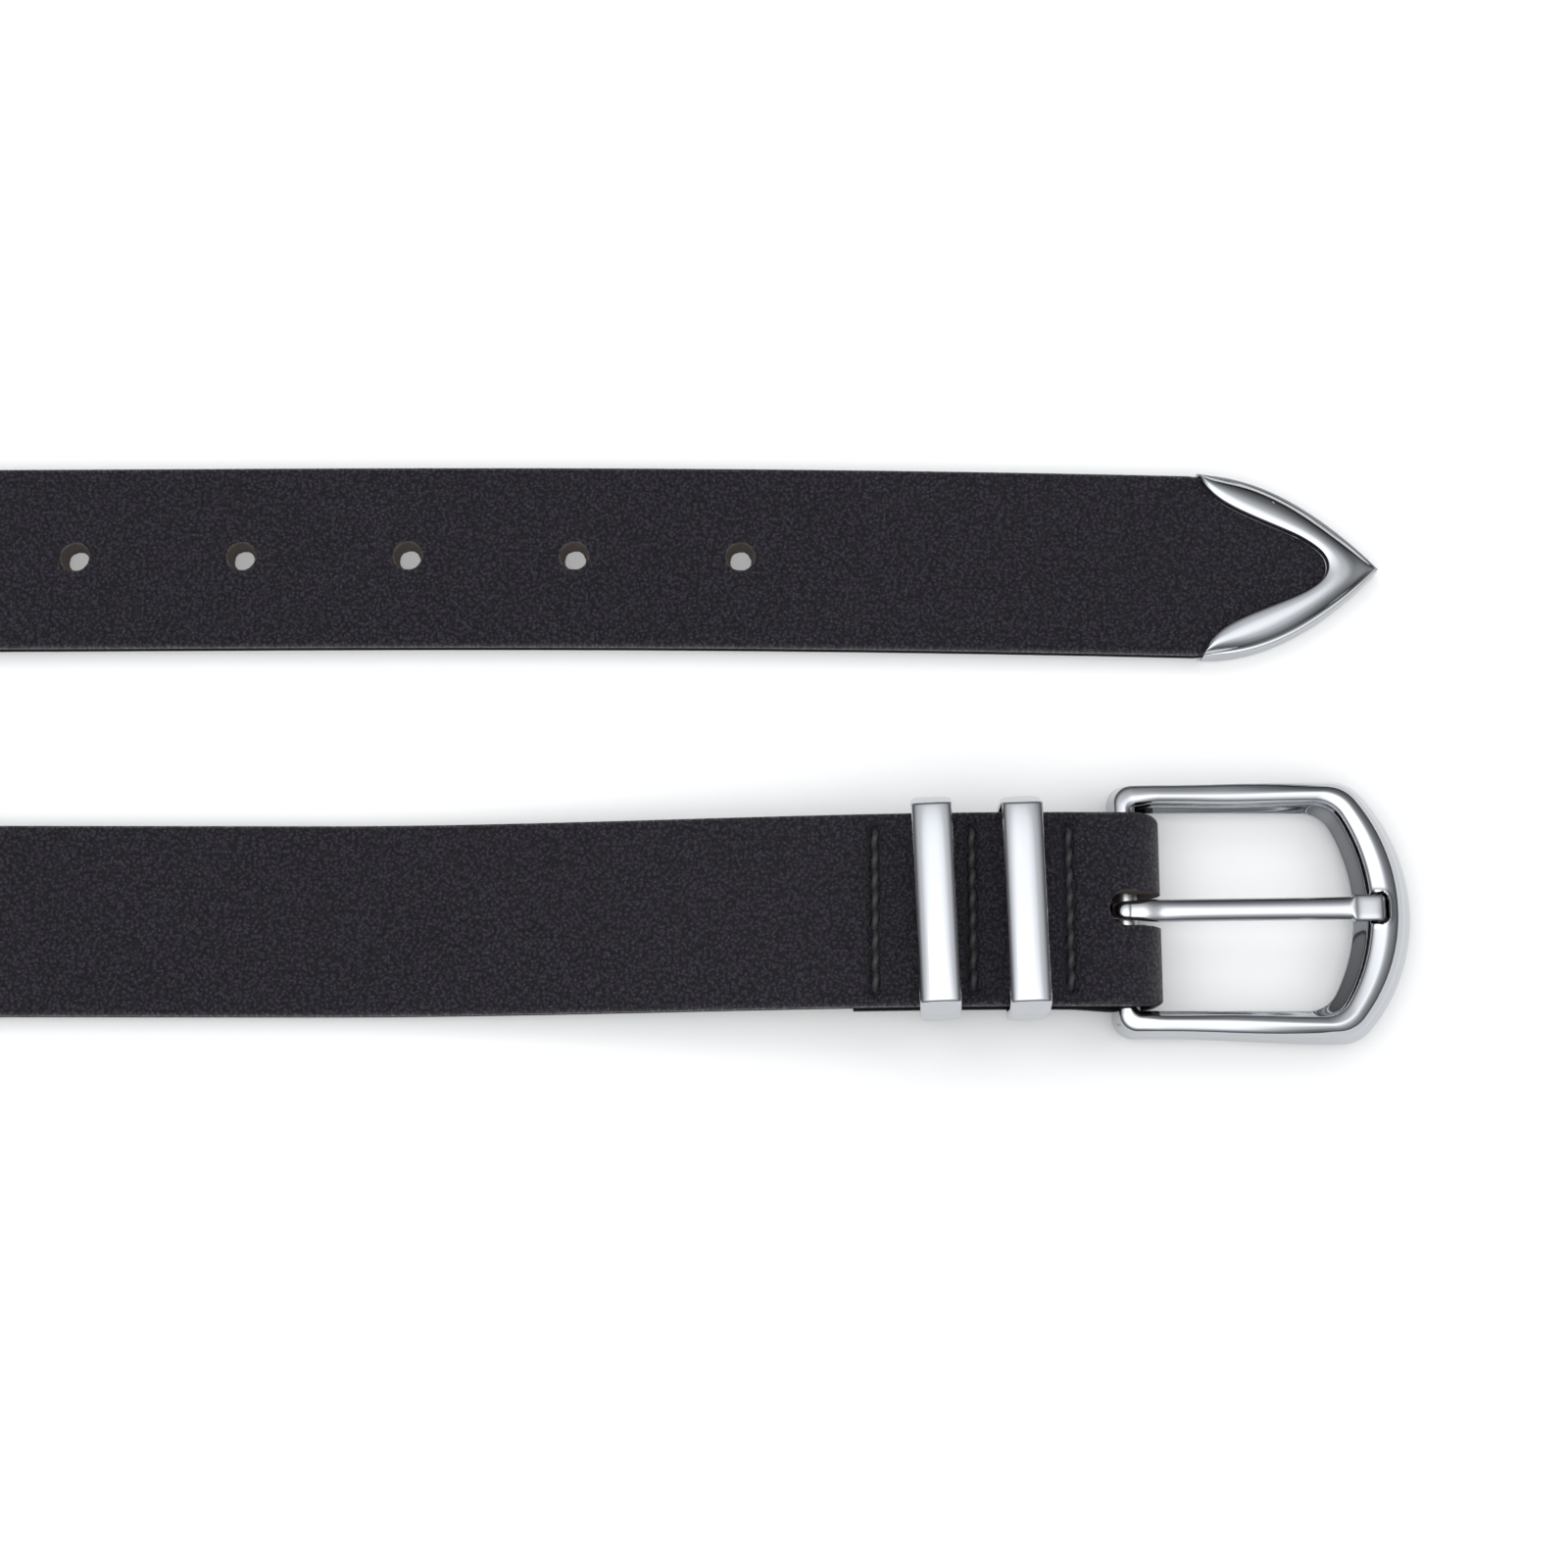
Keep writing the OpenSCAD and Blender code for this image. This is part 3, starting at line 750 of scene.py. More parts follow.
def thread_material():
    """Waxed thread: fine fibres along the strands, with a soft shine on their backs."""
    material, shader, add, link = node_material("waxed thread")
    at = object_vector(add, link, 0.00025)
    fuzz = add("ShaderNodeTexNoise", Scale=1.0, Detail=4.0, Distortion=0.8)
    link(at, fuzz.inputs["Vector"])
    base = np.array(colours().thread)
    link(blend_colours(add, link, fuzz.outputs["Fac"], tuple(base * 0.6), tuple(base * 1.8)),
         shader.inputs["Base Color"])
    lift_node = add("ShaderNodeBump", Strength=0.4, Distance=0.00008)
    link(fuzz.outputs["Fac"], lift_node.inputs["Height"])
    link(lift_node.outputs[0], shader.inputs["Normal"])
    shader.inputs["Roughness"].default_value = 0.55
    return material


def stage_material(colour, rough):
    """Matt paint with a barely visible slow clouding."""
    material, shader, add, link = node_material("plain floor")
    at = object_vector(add, link, 0.02)
    cloud = add("ShaderNodeTexNoise", Scale=0.5, Detail=2.0)
    link(at, cloud.inputs["Vector"])
    base = np.array(colour)
    link(blend_colours(add, link, cloud.outputs["Fac"], tuple(base * 0.995), tuple(base)),
         shader.inputs["Base Color"])
    shader.inputs["Roughness"].default_value = rough
    shader.inputs["Specular IOR Level"].default_value = 0.1
    return material


def shared(name, make):
    """The material called name, made once."""
    return bpy.data.materials.get(name) or make()


def leather():
    """The leather's material."""
    return shared("grained leather", leather_material)


def edge_paint():
    """The painted sides' material."""
    return shared("edge paint", edge_paint_material)


def backing():
    """The backing's material."""
    return shared("backing", lambda: fibre_material("backing", colours().backing, 0.35))


def raw_edge():
    """The punched edges' material."""
    return shared("raw edge", lambda: fibre_material("raw edge", colours().raw_edge, 0.5))


def polished():
    """The polished metal's material."""
    return shared("polished metal",
                  lambda: metal_material("polished metal", colours().metal, 0.07, 0.02, 0.004))


def plain_metal():
    """The hidden metal's material."""
    return shared("plain metal",
                  lambda: metal_material("plain metal", colours().plain_metal, 0.28, 0.25, 0.0006))


def thread():
    """The thread's material."""
    return shared("waxed thread", thread_material)


# ---- leather
def row_relief(place):
    """Gives the front ply's relief as a function of the place across, for sections at place along it: a
    sum of bells, which sink a groove along each stitch row and a dimple at each stitch's end, and raise
    a swell between the rows and beside the fold."""
    s = sizes()
    rows = np.array(STITCH_ROWS) - BAR[0]
    x = np.nan_to_num(place, nan=9.0)[:, None]
    ends = (np.arange(s.stitch_count + 1) - s.stitch_count / 2) * s.stitch_len
    half_row = s.stitch_count * s.stitch_len / 2

    def relief(w):
        total = np.zeros_like(w)
        fade = smooth((HALF_W - np.abs(w)) / 0.0012)
        for row in rows:
            in_row = smooth((half_row + 0.0012 - np.abs(w)) / 0.0014)
            total -= 0.00072 * bump(x - row, 0.00085) * in_row
            total -= 0.00022 * bump(x - row, 0.0028) * smooth((half_row + 0.003 - np.abs(w)) / 0.003)
            for end in ends:
                total -= 0.00030 * bump(np.hypot(x - row, w - end), 0.00055)
                total += 0.00010 * bump(np.hypot((x - row) * 0.45, w - end - s.stitch_len / 2), 0.0011) * (
                    np.abs(x - row) > 0.0009)
        for middle in (rows[:-1] + rows[1:]) / 2:
            total += s.puff * bump(x - middle, 0.0042)
        total += s.puff * bump(x + 0.0032, 0.0032)
        return total * fade

    return relief


def half_widths(fold):
    """Half width of each section: the strap's, a little less where the fold's front corners are rounded."""
    return HALF_W - 0.0006 * bump(fold, 38.0)


class BELT_OT_face(Operator):
    """Grained outer leather of the buckle end, the loop and the tail"""
    bl_idname = "belt.face"
    bl_label = "Outer leather"

    def execute(self, context):
        *run, backing_t, place, fold = buckle_run()
        buckle_end = layer("strap_face_buckle_end", run, half_widths(fold), backing_t, backing_t + FACE_T,
                           (0.00008, 0.0006), row_relief(place), [leather(), edge_paint()])
        cut(buckle_end, [slot_cutter(raw_edge())])
        settle(buckle_end, "strap", "grained_leather", "buckle_end_face", "loop_face")
        run = tail_run()
        half = tail_half_widths(run[0][:, 0])
        flat = np.full(len(half), LINING_T)
        tail = layer("strap_face_tail", run, half, flat, flat + FACE_T, (0.00008, 0.0006), None,
                     [leather(), edge_paint()])
        cut(tail, hole_cutters(raw_edge()))
        settle(tail, None, "grained_leather", "tail_face", "loop_face")
        return {"FINISHED"}


class BELT_OT_backing(Operator):
    """Backing leather under the whole strap, pared thin on the folded ply"""
    bl_idname = "belt.backing"
    bl_label = "Backing leather"
    SET_IN = 0.00005
    RADII = (0.00035, 0.00005)

    def execute(self, context):
        *run, backing_t, _, fold = buckle_run()
        half = half_widths(fold) - self.SET_IN
        buckle_end = layer("strap_backing_buckle_end", run, half, 0 * backing_t, backing_t, self.RADII, None,
                           [backing(), edge_paint()])
        paint_sides(buckle_end, HALF_W - 0.0012)
        cut(buckle_end, [slot_cutter(raw_edge(), sizes().slot_room)])
        settle(buckle_end, "strap", "backing", "buckle_end_lining", "loop_lining")
        run = tail_run()
        x = run[0][:, 0]
        above_plate = corners("tip_plate")[1][2] * smooth((x - TIP_LOW[0]) / 0.0015)
        tail = layer("strap_backing_tail", run, tail_half_widths(x) - self.SET_IN, above_plate,
                     np.full(len(x), LINING_T), self.RADII, None, [backing(), edge_paint()])
        paint_sides(tail, HALF_W - 0.0005)
        cut(tail, hole_cutters(raw_edge()))
        settle(tail, None, "backing", "tail_lining", "loop_lining")
        return {"FINISHED"}


# ---- thread
def stitch_path(row_x):
    """A stitch row's thread along the groove: half a sine over each stitch, diving into the leather
    between."""
    s = sizes()
    half_row = s.stitch_count * s.stitch_len / 2
    w = np.linspace(-half_row, half_row, s.stitch_count * 26 + 1)
    phase = (w + half_row) / s.stitch_len
    arch = np.clip(np.sin(math.pi * (phase % 1)), 0, 1)
    x = row_x + 0.00010 * np.sin(2 * math.pi * phase)
    z = lift(row_x - BAR[0]) + STRAP_T - 0.00175 + 0.00145 * arch
    return np.stack([x, BAR[1] - w + drift(x), z], 1)


class BELT_OT_stitching(Operator):
    """Three rows of thread across the buckle end, sewn through both plies"""
    bl_idname = "belt.stitching"
    bl_label = "Stitching"

    def execute(self, context):
        s = sizes()
        for i, row_x in enumerate(STITCH_ROWS):
            path = stitch_path(row_x)
            tangent = np.gradient(path, axis=0)
            tangent /= np.linalg.norm(tangent, axis=1, keepdims=True)
            side = np.tile([1.0, 0.0, 0.0], (len(path), 1))
            side -= tangent * (side * tangent).sum(1, keepdims=True)
            side /= np.linalg.norm(side, axis=1, keepdims=True)
            up = np.cross(tangent, side)
            angle = np.linspace(0, 2 * math.pi, 21)[:-1]
            twist = np.linspace(0, 2 * math.pi * s.stitch_count * 2.2, len(path))[:, None]
            r = s.thread_r * (0.86 + 0.16 * np.abs(np.cos(1.5 * (angle[None] - twist))))
            rings = (path[:, None] + side[:, None] * (r * np.cos(angle))[..., None]
                     + up[:, None] * (r * np.sin(angle))[..., None])
            row = mesh_object(f"thread_row_{i + 1}", rings.reshape(-1, 3), tube_faces(len(path), 20),
                              thread(), 60)
            settle(row, "strap", "thread", f"stitch_row_{i + 1}")
        return {"FINISHED"}


# ---- metal
def band_section(keys, count):
    """A closed smooth section through keys, sampled count times for every ring. Each key is a distance and a
    height, both arrays over the rings."""
    dist = np.stack([k[0] for k in keys], 0)
    high = np.stack([k[1] for k in keys], 0)
    both = np.stack([dist, high], -1)
    wrapped = np.concatenate([both[-2:], both, both[:3]])
    full = spline(wrapped, (len(wrapped) - 1) * count // len(keys) + 1)
    per = (len(full) - 1) / (len(wrapped) - 1)
    first, last = int(round(2 * per)), int(round((2 + len(keys)) * per))
    ring = full[first:last]
    return ring[..., 0].T, ring[..., 1].T


def end_arcs(reach, r, corner, half, n_corner, n_end):
    """The corner and the end arc of one half of the buckle's curved end, and where the corner's centre
    lies. The corner circle touches both the arm's straight and the inside of the end's circle, whose
    centre lies on the middle line r back from the reach."""
    cx = reach - r + math.sqrt((r - corner) ** 2 - (half - corner) ** 2)
    a = math.degrees(math.atan2(half - corner, cx - reach + r))
    return (arc(cx, half - corner, corner, 90, a, n_corner), arc(reach - r, 0, r, a, 0, n_end), cx)


def rim_outlines():
    """The inner and outer outline of the buckle's rim, ring for ring: out from the bar, round the heel's
    corner, along the arm, round the corner and the end to the middle, and the same mirrored."""
    reach = FRAME_HIGH[0] - BAR[0] + 0.0003
    heel = BAR[0] - FRAME_LOW[0]
    half_out = (FRAME_HIGH[1] - FRAME_LOW[1]) / 2 + 0.0004
    half_heel = half_out - 0.0007
    half_in = HALF_W + 0.0005
    stub = HALF_W - 0.0003
    corner_o, end_o, x_o = end_arcs(reach, 0.0262, 0.0058, half_out, 24, 60)
    corner_i, end_i, x_i = end_arcs(reach - 0.0083, 0.0255, 0.0047, half_in, 24, 60)
    arm = np.linspace(0, 1, 70)
    arm_o = np.stack([-heel + 0.003 + (x_o + heel - 0.003) * arm,
                      half_heel + (half_out - half_heel) * smooth((arm - 0.15) / 0.8)], 1)
    inner = joined([straight((0.0013, stub), (0.0013, half_in - 0.0005), 4),
                    arc(0.0018, half_in - 0.0005, 0.0005, 180, 90, 12),
                    straight((0.0018, half_in), (x_i, half_in), 70), corner_i, end_i])
    outer = joined([straight((-heel, stub), (-heel, half_heel - 0.003), 4),
                    arc(-heel + 0.003, half_heel - 0.003, 0.003, 180, 90, 12), arm_o, corner_o, end_o])
    centre = BAR[:2] + [0, sizes().buckle_shift]
    return with_mirror(inner, centre), with_mirror(outer, centre)


class BELT_OT_buckle(Operator):
    """The buckle's rim: domed in front, stepped down to a ledge inside, flat behind, with a seat for the
    prong"""
    bl_idname = "belt.buckle"
    bl_label = "Buckle"

    def execute(self, context):
        inner, outer = rim_outlines()
        depth = FRAME_HIGH[2] - FRAME_LOW[2]
        end = smooth((inner[:, 0] - BAR[0] - 0.012) / 0.020)
        heel = 1 - smooth((outer[:, 0] - BAR[0] + 0.001) / 0.006)

        def z(mm):
            return np.full(len(inner), mm * MM)

        def section(width):
            """Counter-clockwise from the window's lower edge: up the window's wall to the ledge, up the
            step, over the dome to its outer edge, and down the leaning outer wall to the back."""
            ledge = (0.0009 + 0.0009 * end) * (1 - 0.55 * heel)
            w = width - ledge
            edge = 0.80 - 0.06 * end
            peak = depth - heel * 0.0002
            rise = 0.72 * (ledge - z(0.30))
            keys = [(z(0.5), z(0.0)), (z(0.12), z(0.12)), (z(0), z(0.5)), (z(0), z(0.95)), (z(0.05), z(1.18)),
                    (z(0.22), z(1.35)), (ledge - z(0.14), z(1.35) + rise), (ledge - z(0.02), z(1.60) + rise),
                    (ledge, z(1.95) + rise), (ledge + z(0.02), peak - z(1.5)),
                    (ledge + z(0.06), peak - z(0.8)), (ledge + z(0.26), peak - z(0.32)),
                    (ledge + w * 0.24, peak - z(0.03)),
                    (ledge + w * 0.38, peak), (ledge + w * 0.55, peak - z(0.10) - 0.00025 * end),
                    (ledge + w * (edge - 0.10), peak - z(0.26) - 0.00055 * end),
                    (ledge + w * (edge - 0.015), peak - z(0.50) - 0.00085 * end),
                    (ledge + w * (edge + 0.012), peak - z(0.72) - 0.00090 * end),
                    (ledge + w * (0.7 * edge + 0.3), peak - z(1.55) - 0.00080 * end),
                    (ledge + w * (0.35 * edge + 0.65), z(2.15)), (width, z(0.95)), (width - z(0.12), z(0.3)),
                    (width - z(0.55), z(0.0)), ((width + z(0.3)) / 2, z(0.0))]
            return band_section(keys, 168)

        grid = between(inner, outer, FRAME_LOW[2], section)
        self.cut_seat(grid)
        rim = mesh_object("buckle_rim", grid.reshape(-1, 3), tube_faces(*grid.shape[:2]), polished(), 35)
        settle(rim, "buckle", "polished_metal", "buckle_frame")
        bar = frame["nodes"]["buckle_bar"]
        bar.data.materials.clear()
        bar.data.materials.append(plain_metal())
        return {"FINISHED"}

    def cut_seat(self, grid):
        """Lowers the rim's front to a flat seat where the prong's tip lies. inside is a point's distance
        to the edge of a rectangle with round corners, and the seat's wall eases over a third of a
        millimetre of it."""
        half = (PRONG_HIGH[1] - PRONG_LOW[1]) / 2 + 0.00055
        floor = FRAME_HIGH[2] - 0.0013
        tip = PRONG_HIGH[0] + 0.00045
        x, y = grid[..., 0], grid[..., 1] - BAR[1] - (grid[..., 0] - BAR[0]) * math.tan(sizes().prong_turn)
        corner = half * 0.55
        dx = np.maximum(x - (tip - corner), 0)
        dy = np.maximum(np.abs(y) - (half - corner), 0)
        inside = corner - np.hypot(dx, dy)
        share = smooth((inside + 0.00012) / 0.00034)
        z = grid[..., 2]
        z += np.where(z > floor, (floor - z) * share, 0)
        lip = bump(inside + 0.00028, 0.00020) * smooth((z - floor) / 0.0005)
        z += 0.00008 * lip * (x > PRONG_HIGH[0] - 0.0042)


class BELT_OT_prong(Operator):
    """The prong: a bar bent into an eye round the buckle's bar, flattened where its tip lies on the rim"""
    bl_idname = "belt.prong"
    bl_label = "Prong"

    def execute(self, context):
        end_x = PRONG_HIGH[0] - BAR[0]
        line = self.middle_line(end_x)
        tangent = np.gradient(line[:, :2], axis=0)
        tangent /= np.linalg.norm(tangent, axis=1, keepdims=True)
        normal = np.stack([tangent[:, 1], -tangent[:, 0]], 1)
        run = np.concatenate([[0], np.cumsum(np.linalg.norm(np.diff(line[:, :2], axis=0), axis=1))])
        start = np.clip(run / 0.0010, 0, 1)
        tip_round = np.sqrt(start * (2 - start))
        eye_round = np.sqrt(np.clip((run[-1] - run) / 0.0006, 0.02, 1))
        taper = 1 - 0.06 * smooth((line[:, 0] - 0.030) / 0.010)
        pad = 0.00032 * smooth((line[:, 0] - end_x + 0.0050) / 0.0006)
        in_eye = smooth((run - run[-1] + 0.0135) / 0.006)
        half = (PRONG_HIGH[1] - PRONG_LOW[1]) / 2
        wide = ((half * taper + pad) * (0.72 + 0.28 * tip_round) * (0.7 + 0.3 * eye_round)
                * (1 - 0.22 * in_eye))[:, None]
        thick = (line[:, 2] / 2 * (0.35 + 0.65 * tip_round) * eye_round)[:, None]
        squarer = smooth((line[:, 0] - end_x + 0.0052) / 0.0008)
        power = 2 / (2.15 + 2.2 * squarer)[:, None]
        c, d = np.cos(ROUND_64), np.sin(ROUND_64)
        across = wide * np.sign(c) * np.abs(c) ** power
        out = thick * np.sign(d) * np.abs(d) ** power
        x = BAR[0] + line[:, :1] + normal[:, :1] * out
        z = line[:, 1:2] + normal[:, 1:] * out
        y = BAR[1] + across + (x - BAR[0]) * math.tan(sizes().prong_turn)
        grid = np.stack([x, y, z], -1)
        prong = mesh_object("prong", grid.reshape(-1, 3), tube_faces(*grid.shape[:2]), polished(), 38)
        settle(prong, "prong", "polished_metal", "buckle_prong")
        return {"FINISHED"}

    def middle_line(self, end_x):
        """The curve along the prong's middle, from its tip back over the beam and round the eye: x from
        the bar, height and thickness."""
        wall = BAR[0] - PRONG_LOW[0] - BAR_R - 0.00006
        eye_mid = BAR_R + 0.00006 + wall / 2
        mid_z = FRAME_HIGH[2] - 0.00025
        beam = np.array([[end_x, mid_z - 0.0002, 0.0006], [end_x - 0.0004, mid_z - 0.0001, 0.00105],
                         [end_x - 0.0012, mid_z, 0.0013], [end_x - 0.0038, mid_z + 0.00005, 0.0014],
                         [end_x - 0.0048, mid_z + 0.00002, 0.0018], [end_x - 0.007, mid_z - 0.0002, 0.0021],
                         [end_x * 0.6, mid_z - 0.00045, 0.0023], [end_x * 0.35, mid_z - 0.00065, 0.0023],
                         [0.0080, mid_z - 0.00080, 0.0022], [0.0050, mid_z - 0.00085, 0.0019],
                         [0.0026, BAR[2] + eye_mid * 0.96, 0.00145]])
        wrap = np.radians(np.linspace(74, 322, 16))
        eye = np.stack([eye_mid * np.cos(wrap), BAR[2] + eye_mid * np.sin(wrap), np.full(16, wall)], 1)
        return spline(np.concatenate([beam, eye]), 420)


class BELT_OT_keepers(Operator):
    """Two keepers: rectangular metal loops with a domed front bar"""
    bl_idname = "belt.keepers"
    bl_label = "Keepers"

    def execute(self, context):
        s = sizes()
        self.keeper("keeper_1", s.keeper_turn, s.keeper_shift)
        self.keeper("keeper_2", s.keeper_turn * 1.3, s.keeper_shift * 2.5)
        return {"FINISHED"}

    def outline(self, half_w, z0, z1, r_low, r_high, draw_in):
        """A rectangle with round corners whose sides are drawn in towards the front, counter-clockwise
        from the middle of its back. r_low and r_high are the corners' radii at the back and the front."""
        count = 40
        t = np.linspace(0, 1, 28)
        side = np.stack([half_w - draw_in * np.maximum((t - 0.66) / 0.34, 0) ** 1.25,
                         z0 + r_low + (z1 - r_high - z0 - r_low) * t], 1)
        end = half_w - draw_in - r_high
        right = joined([straight((0, z0), (half_w - r_low, z0), count),
                        arc(half_w - r_low, z0 + r_low, r_low, -90, 0, 14), side,
                        arc(end, z1 - r_high, r_high, 0, 90, 18), straight((end, z1), (0, z1), count)])
        return np.concatenate([right, (right * [-1, 1])[-2:0:-1]])

    def keeper(self, node, turn, shift):
        """One keeper in its joint's own frame: its section is carried round between the inner and outer
        outline, flat inside and domed outside, and the loop is turned a little on the strap."""
        low, high = corners(node)
        axis = np.array(joint_named(f"{node}_slide")["axis"], float)
        up = np.array([-axis[2], 0, axis[0]])
        slope = axis[2] / axis[0]
        span_x, span_y, span_z = high - low
        length = (span_x - slope * span_z) / (1 - slope * slope)
        tall = (span_z - slope * length) * axis[0]
        half_y = span_y / 2
        inner = self.outline(half_y - 0.0013, -tall / 2 + 0.0012, tall / 2 - 0.0016, 0.0004, 0.0005, 0.0)
        outer = self.outline(half_y, -tall / 2, tall / 2, 0.0009, 0.00045, 0.00150)
        outer[:, 1] -= 0.0004 * (np.abs(outer[:, 0]) / half_y) ** 6 * (outer[:, 1] > 0)
        way = outer - inner
        thick = np.linalg.norm(way, axis=1, keepdims=True)
        way /= thick
        dome = 0.00022 + 0.00030 * smooth((inner[:, 1:] / (tall / 2) - 0.2) / 0.5)
        # places along the strap, as shares of half the length: the flat inside, an edge, the dome and an edge
        u = np.array([-0.90, -0.45, 0.0, 0.45, 0.90, 0.985, 1.0, 0.985, 0.93, 0.80, 0.55, 0.28, 0.0,
                      -0.28, -0.55, -0.80, -0.93, -0.985, -1.0, -0.985])
        top = np.abs(u[8:17])
        d = np.zeros((len(inner), len(u)))
        d[:, [5, 19]] = 0.00012
        d[:, [6, 18]] = thick * 0.45
        d[:, [7, 17]] = thick - dome - 0.00022
        d[:, 8:17] = thick - dome * top ** 2.6 - 0.00008 * (top > 0.9)
        keys = [(d[:, k], np.full(len(inner), length / 2 * u[k])) for k in range(len(u))]
        dist, place = band_section(keys, 140)
        y = inner[:, :1] + way[:, :1] * dist
        z = inner[:, 1:] + way[:, 1:] * dist
        c, t = math.cos(turn), math.sin(turn)
        place, y = c * place - t * y + shift, c * y + t * place
        centre = (low + high) / 2
        grid = centre + axis * place[..., None] + np.array([0, 1.0, 0]) * y[..., None] + up * z[..., None]
        grid = np.concatenate([grid, grid[:1]])
        loop = mesh_object(node + "_loop", grid.reshape(-1, 3), tube_faces(*grid.shape[:2], caps=False),
                           polished(), 38)
        settle(loop, node, "polished_metal", node)


def bezier(a, b, c, d, count):
    """Cubic Bezier curve from a to d with handles b and c."""
    t = np.linspace(0, 1, count)[:, None]
    return ((1 - t) ** 3 * np.array(a) + 3 * (1 - t) ** 2 * t * np.array(b)
            + 3 * (1 - t) * t * t * np.array(c) + t ** 3 * np.array(d))


class BELT_OT_tip(Operator):
    """The pointed metal tip: a domed border with a curved vee inside and a narrow shelf outside, side
    walls, and the plate and two slotted screws behind"""
    bl_idname = "belt.tip"
    bl_label = "Tip"

    def execute(self, context):
        self.border()
        self.plate()
        self.screws()
        return {"FINISHED"}

    def border(self):
        """The domed border: its section is carried between the leather's vee and the pointed outline, and
        blended along the border, sixty times over, so that its crest runs smoothly into the point."""
        apex = TIP_HIGH[0] - 0.008
        u = np.linspace(0, 1, 90)
        outer = np.stack([TIP_LOW[0] + u * TIP_LEN, TIP_HALF * (1 - u * u)], 1)
        start, knee = (TIP_LOW[0] + 0.0004, TIP_HALF - 0.0009), (apex - 0.0044, 0.0046)
        vee = joined([bezier(start, (TIP_LOW[0] + 0.0019, TIP_HALF - 0.0048),
                             (TIP_LOW[0] + 0.0056, TIP_HALF - 0.006), knee, 60),
                      bezier(knee, (apex - 0.0023, 0.0033), (apex, 0.0022), (apex, 0), 31)])
        inner, outer = with_mirror(vee, [0, TAIL_Y]), with_mirror(outer, [0, TAIL_Y])
        rise = TIP_HIGH[2] - STRAP_T
        wall = 0.00048

        def z(mm):
            return np.full(len(inner), mm * MM)

        def section(w):
            """Clockwise from the vee's edge: over the dome to the shelf, down the outer wall, and back up
            inside."""
            shelf = np.minimum(0.00085, 0.28 * w)
            lean = np.minimum(0.00030, 0.12 * w)
            dome = w - shelf
            base = STRAP_T - 0.00005
            tall = np.minimum(rise, 0.0005 + 0.45 * w)
            keys = [(z(0.10), z(0) + base), (z(0), z(0.12) + base), (z(0.0), base + tall * 0.50),
                    (dome * 0.015, base + tall * 0.80), (dome * 0.07, base + tall * 0.95),
                    (dome * 0.22, base + tall * 1.03), (dome * 0.38, base + tall * 1.03),
                    (dome * 0.56, base + tall * 0.94), (dome * 0.73, base + tall * 0.74),
                    (dome * 0.87, base + tall * 0.47),
                    (dome * 0.97, base + tall * 0.16), (dome + shelf * 0.15, base + tall * 0.05),
                    (w - lean - shelf * 0.12, base + tall * 0.01), (w - lean, z(0) + base - 0.00018),
                    (w - lean * 0.75, z(0) + base - 0.0008), (w - lean * 0.2, z(1.0)), (w, z(0.35)),
                    (w - z(0.14), z(0.03)), (w - wall + z(0.08), z(0.03)), (w - wall, z(0.3)),
                    (w - wall, z(1.2)), (w - wall, z(0) + base - 0.0006), (w - wall - z(0.1), z(0) + base),
                    (w * 0.45, z(0) + base)]
            return band_section(keys, 184)

        grid = between(inner, outer, 0.0, section)
        share = np.linalg.norm(grid[..., :2] - inner[:, None], axis=2) / np.linalg.norm(
            outer - inner, axis=1)[:, None]
        soft = (smooth((0.88 - share) / 0.25) * smooth(share / 0.06))[..., None]
        for _ in range(60):
            mean = (grid[:-2] + 2 * grid[1:-1] + grid[2:]) / 4
            grid[1:-1] += (mean - grid[1:-1]) * soft[1:-1]
        grid[..., 1] += bow(grid[..., 0])
        cap = mesh_object("tip_border", grid.reshape(-1, 3), tube_faces(*grid.shape[:2]), polished(), 32)
        settle(cap, "tail", "polished_metal", "tip_cap")

    def plate(self):
        """The back plate: the tip's outline drawn in by the walls, with broken edges."""
        low, high = corners("tip_plate")
        u = np.concatenate([np.linspace(0, 0.985, 60), [0.996]])
        half = (high[1] - low[1]) / 2
        reach = high[0] - low[0]
        side = np.stack([low[0] + u * reach, half * (1 - u * u)], 1)
        ring = np.concatenate([side, (side * [1, -1])[::-1]])
        centre = np.array([low[0] + reach * 0.4, 0])
        levels = ((low[2] + 0.00001, 0.985), (low[2] + 0.00012, 1.0), (high[2] - 0.00012, 1.0),
                  (high[2], 0.985))
        rings = []
        for height, share in levels:
            flat = centre + (ring - centre) * share
            rings.append(np.concatenate([flat, np.full((len(flat), 1), height)], 1))
        verts = np.concatenate(rings) + [0, TAIL_Y, 0]
        verts[:, 1] += bow(verts[:, 0])
        plate = mesh_object("back_plate", verts, tube_faces(len(levels), len(ring)), plain_metal(), 30)
        settle(plate, "tail", "plain_metal", "tip_plate")

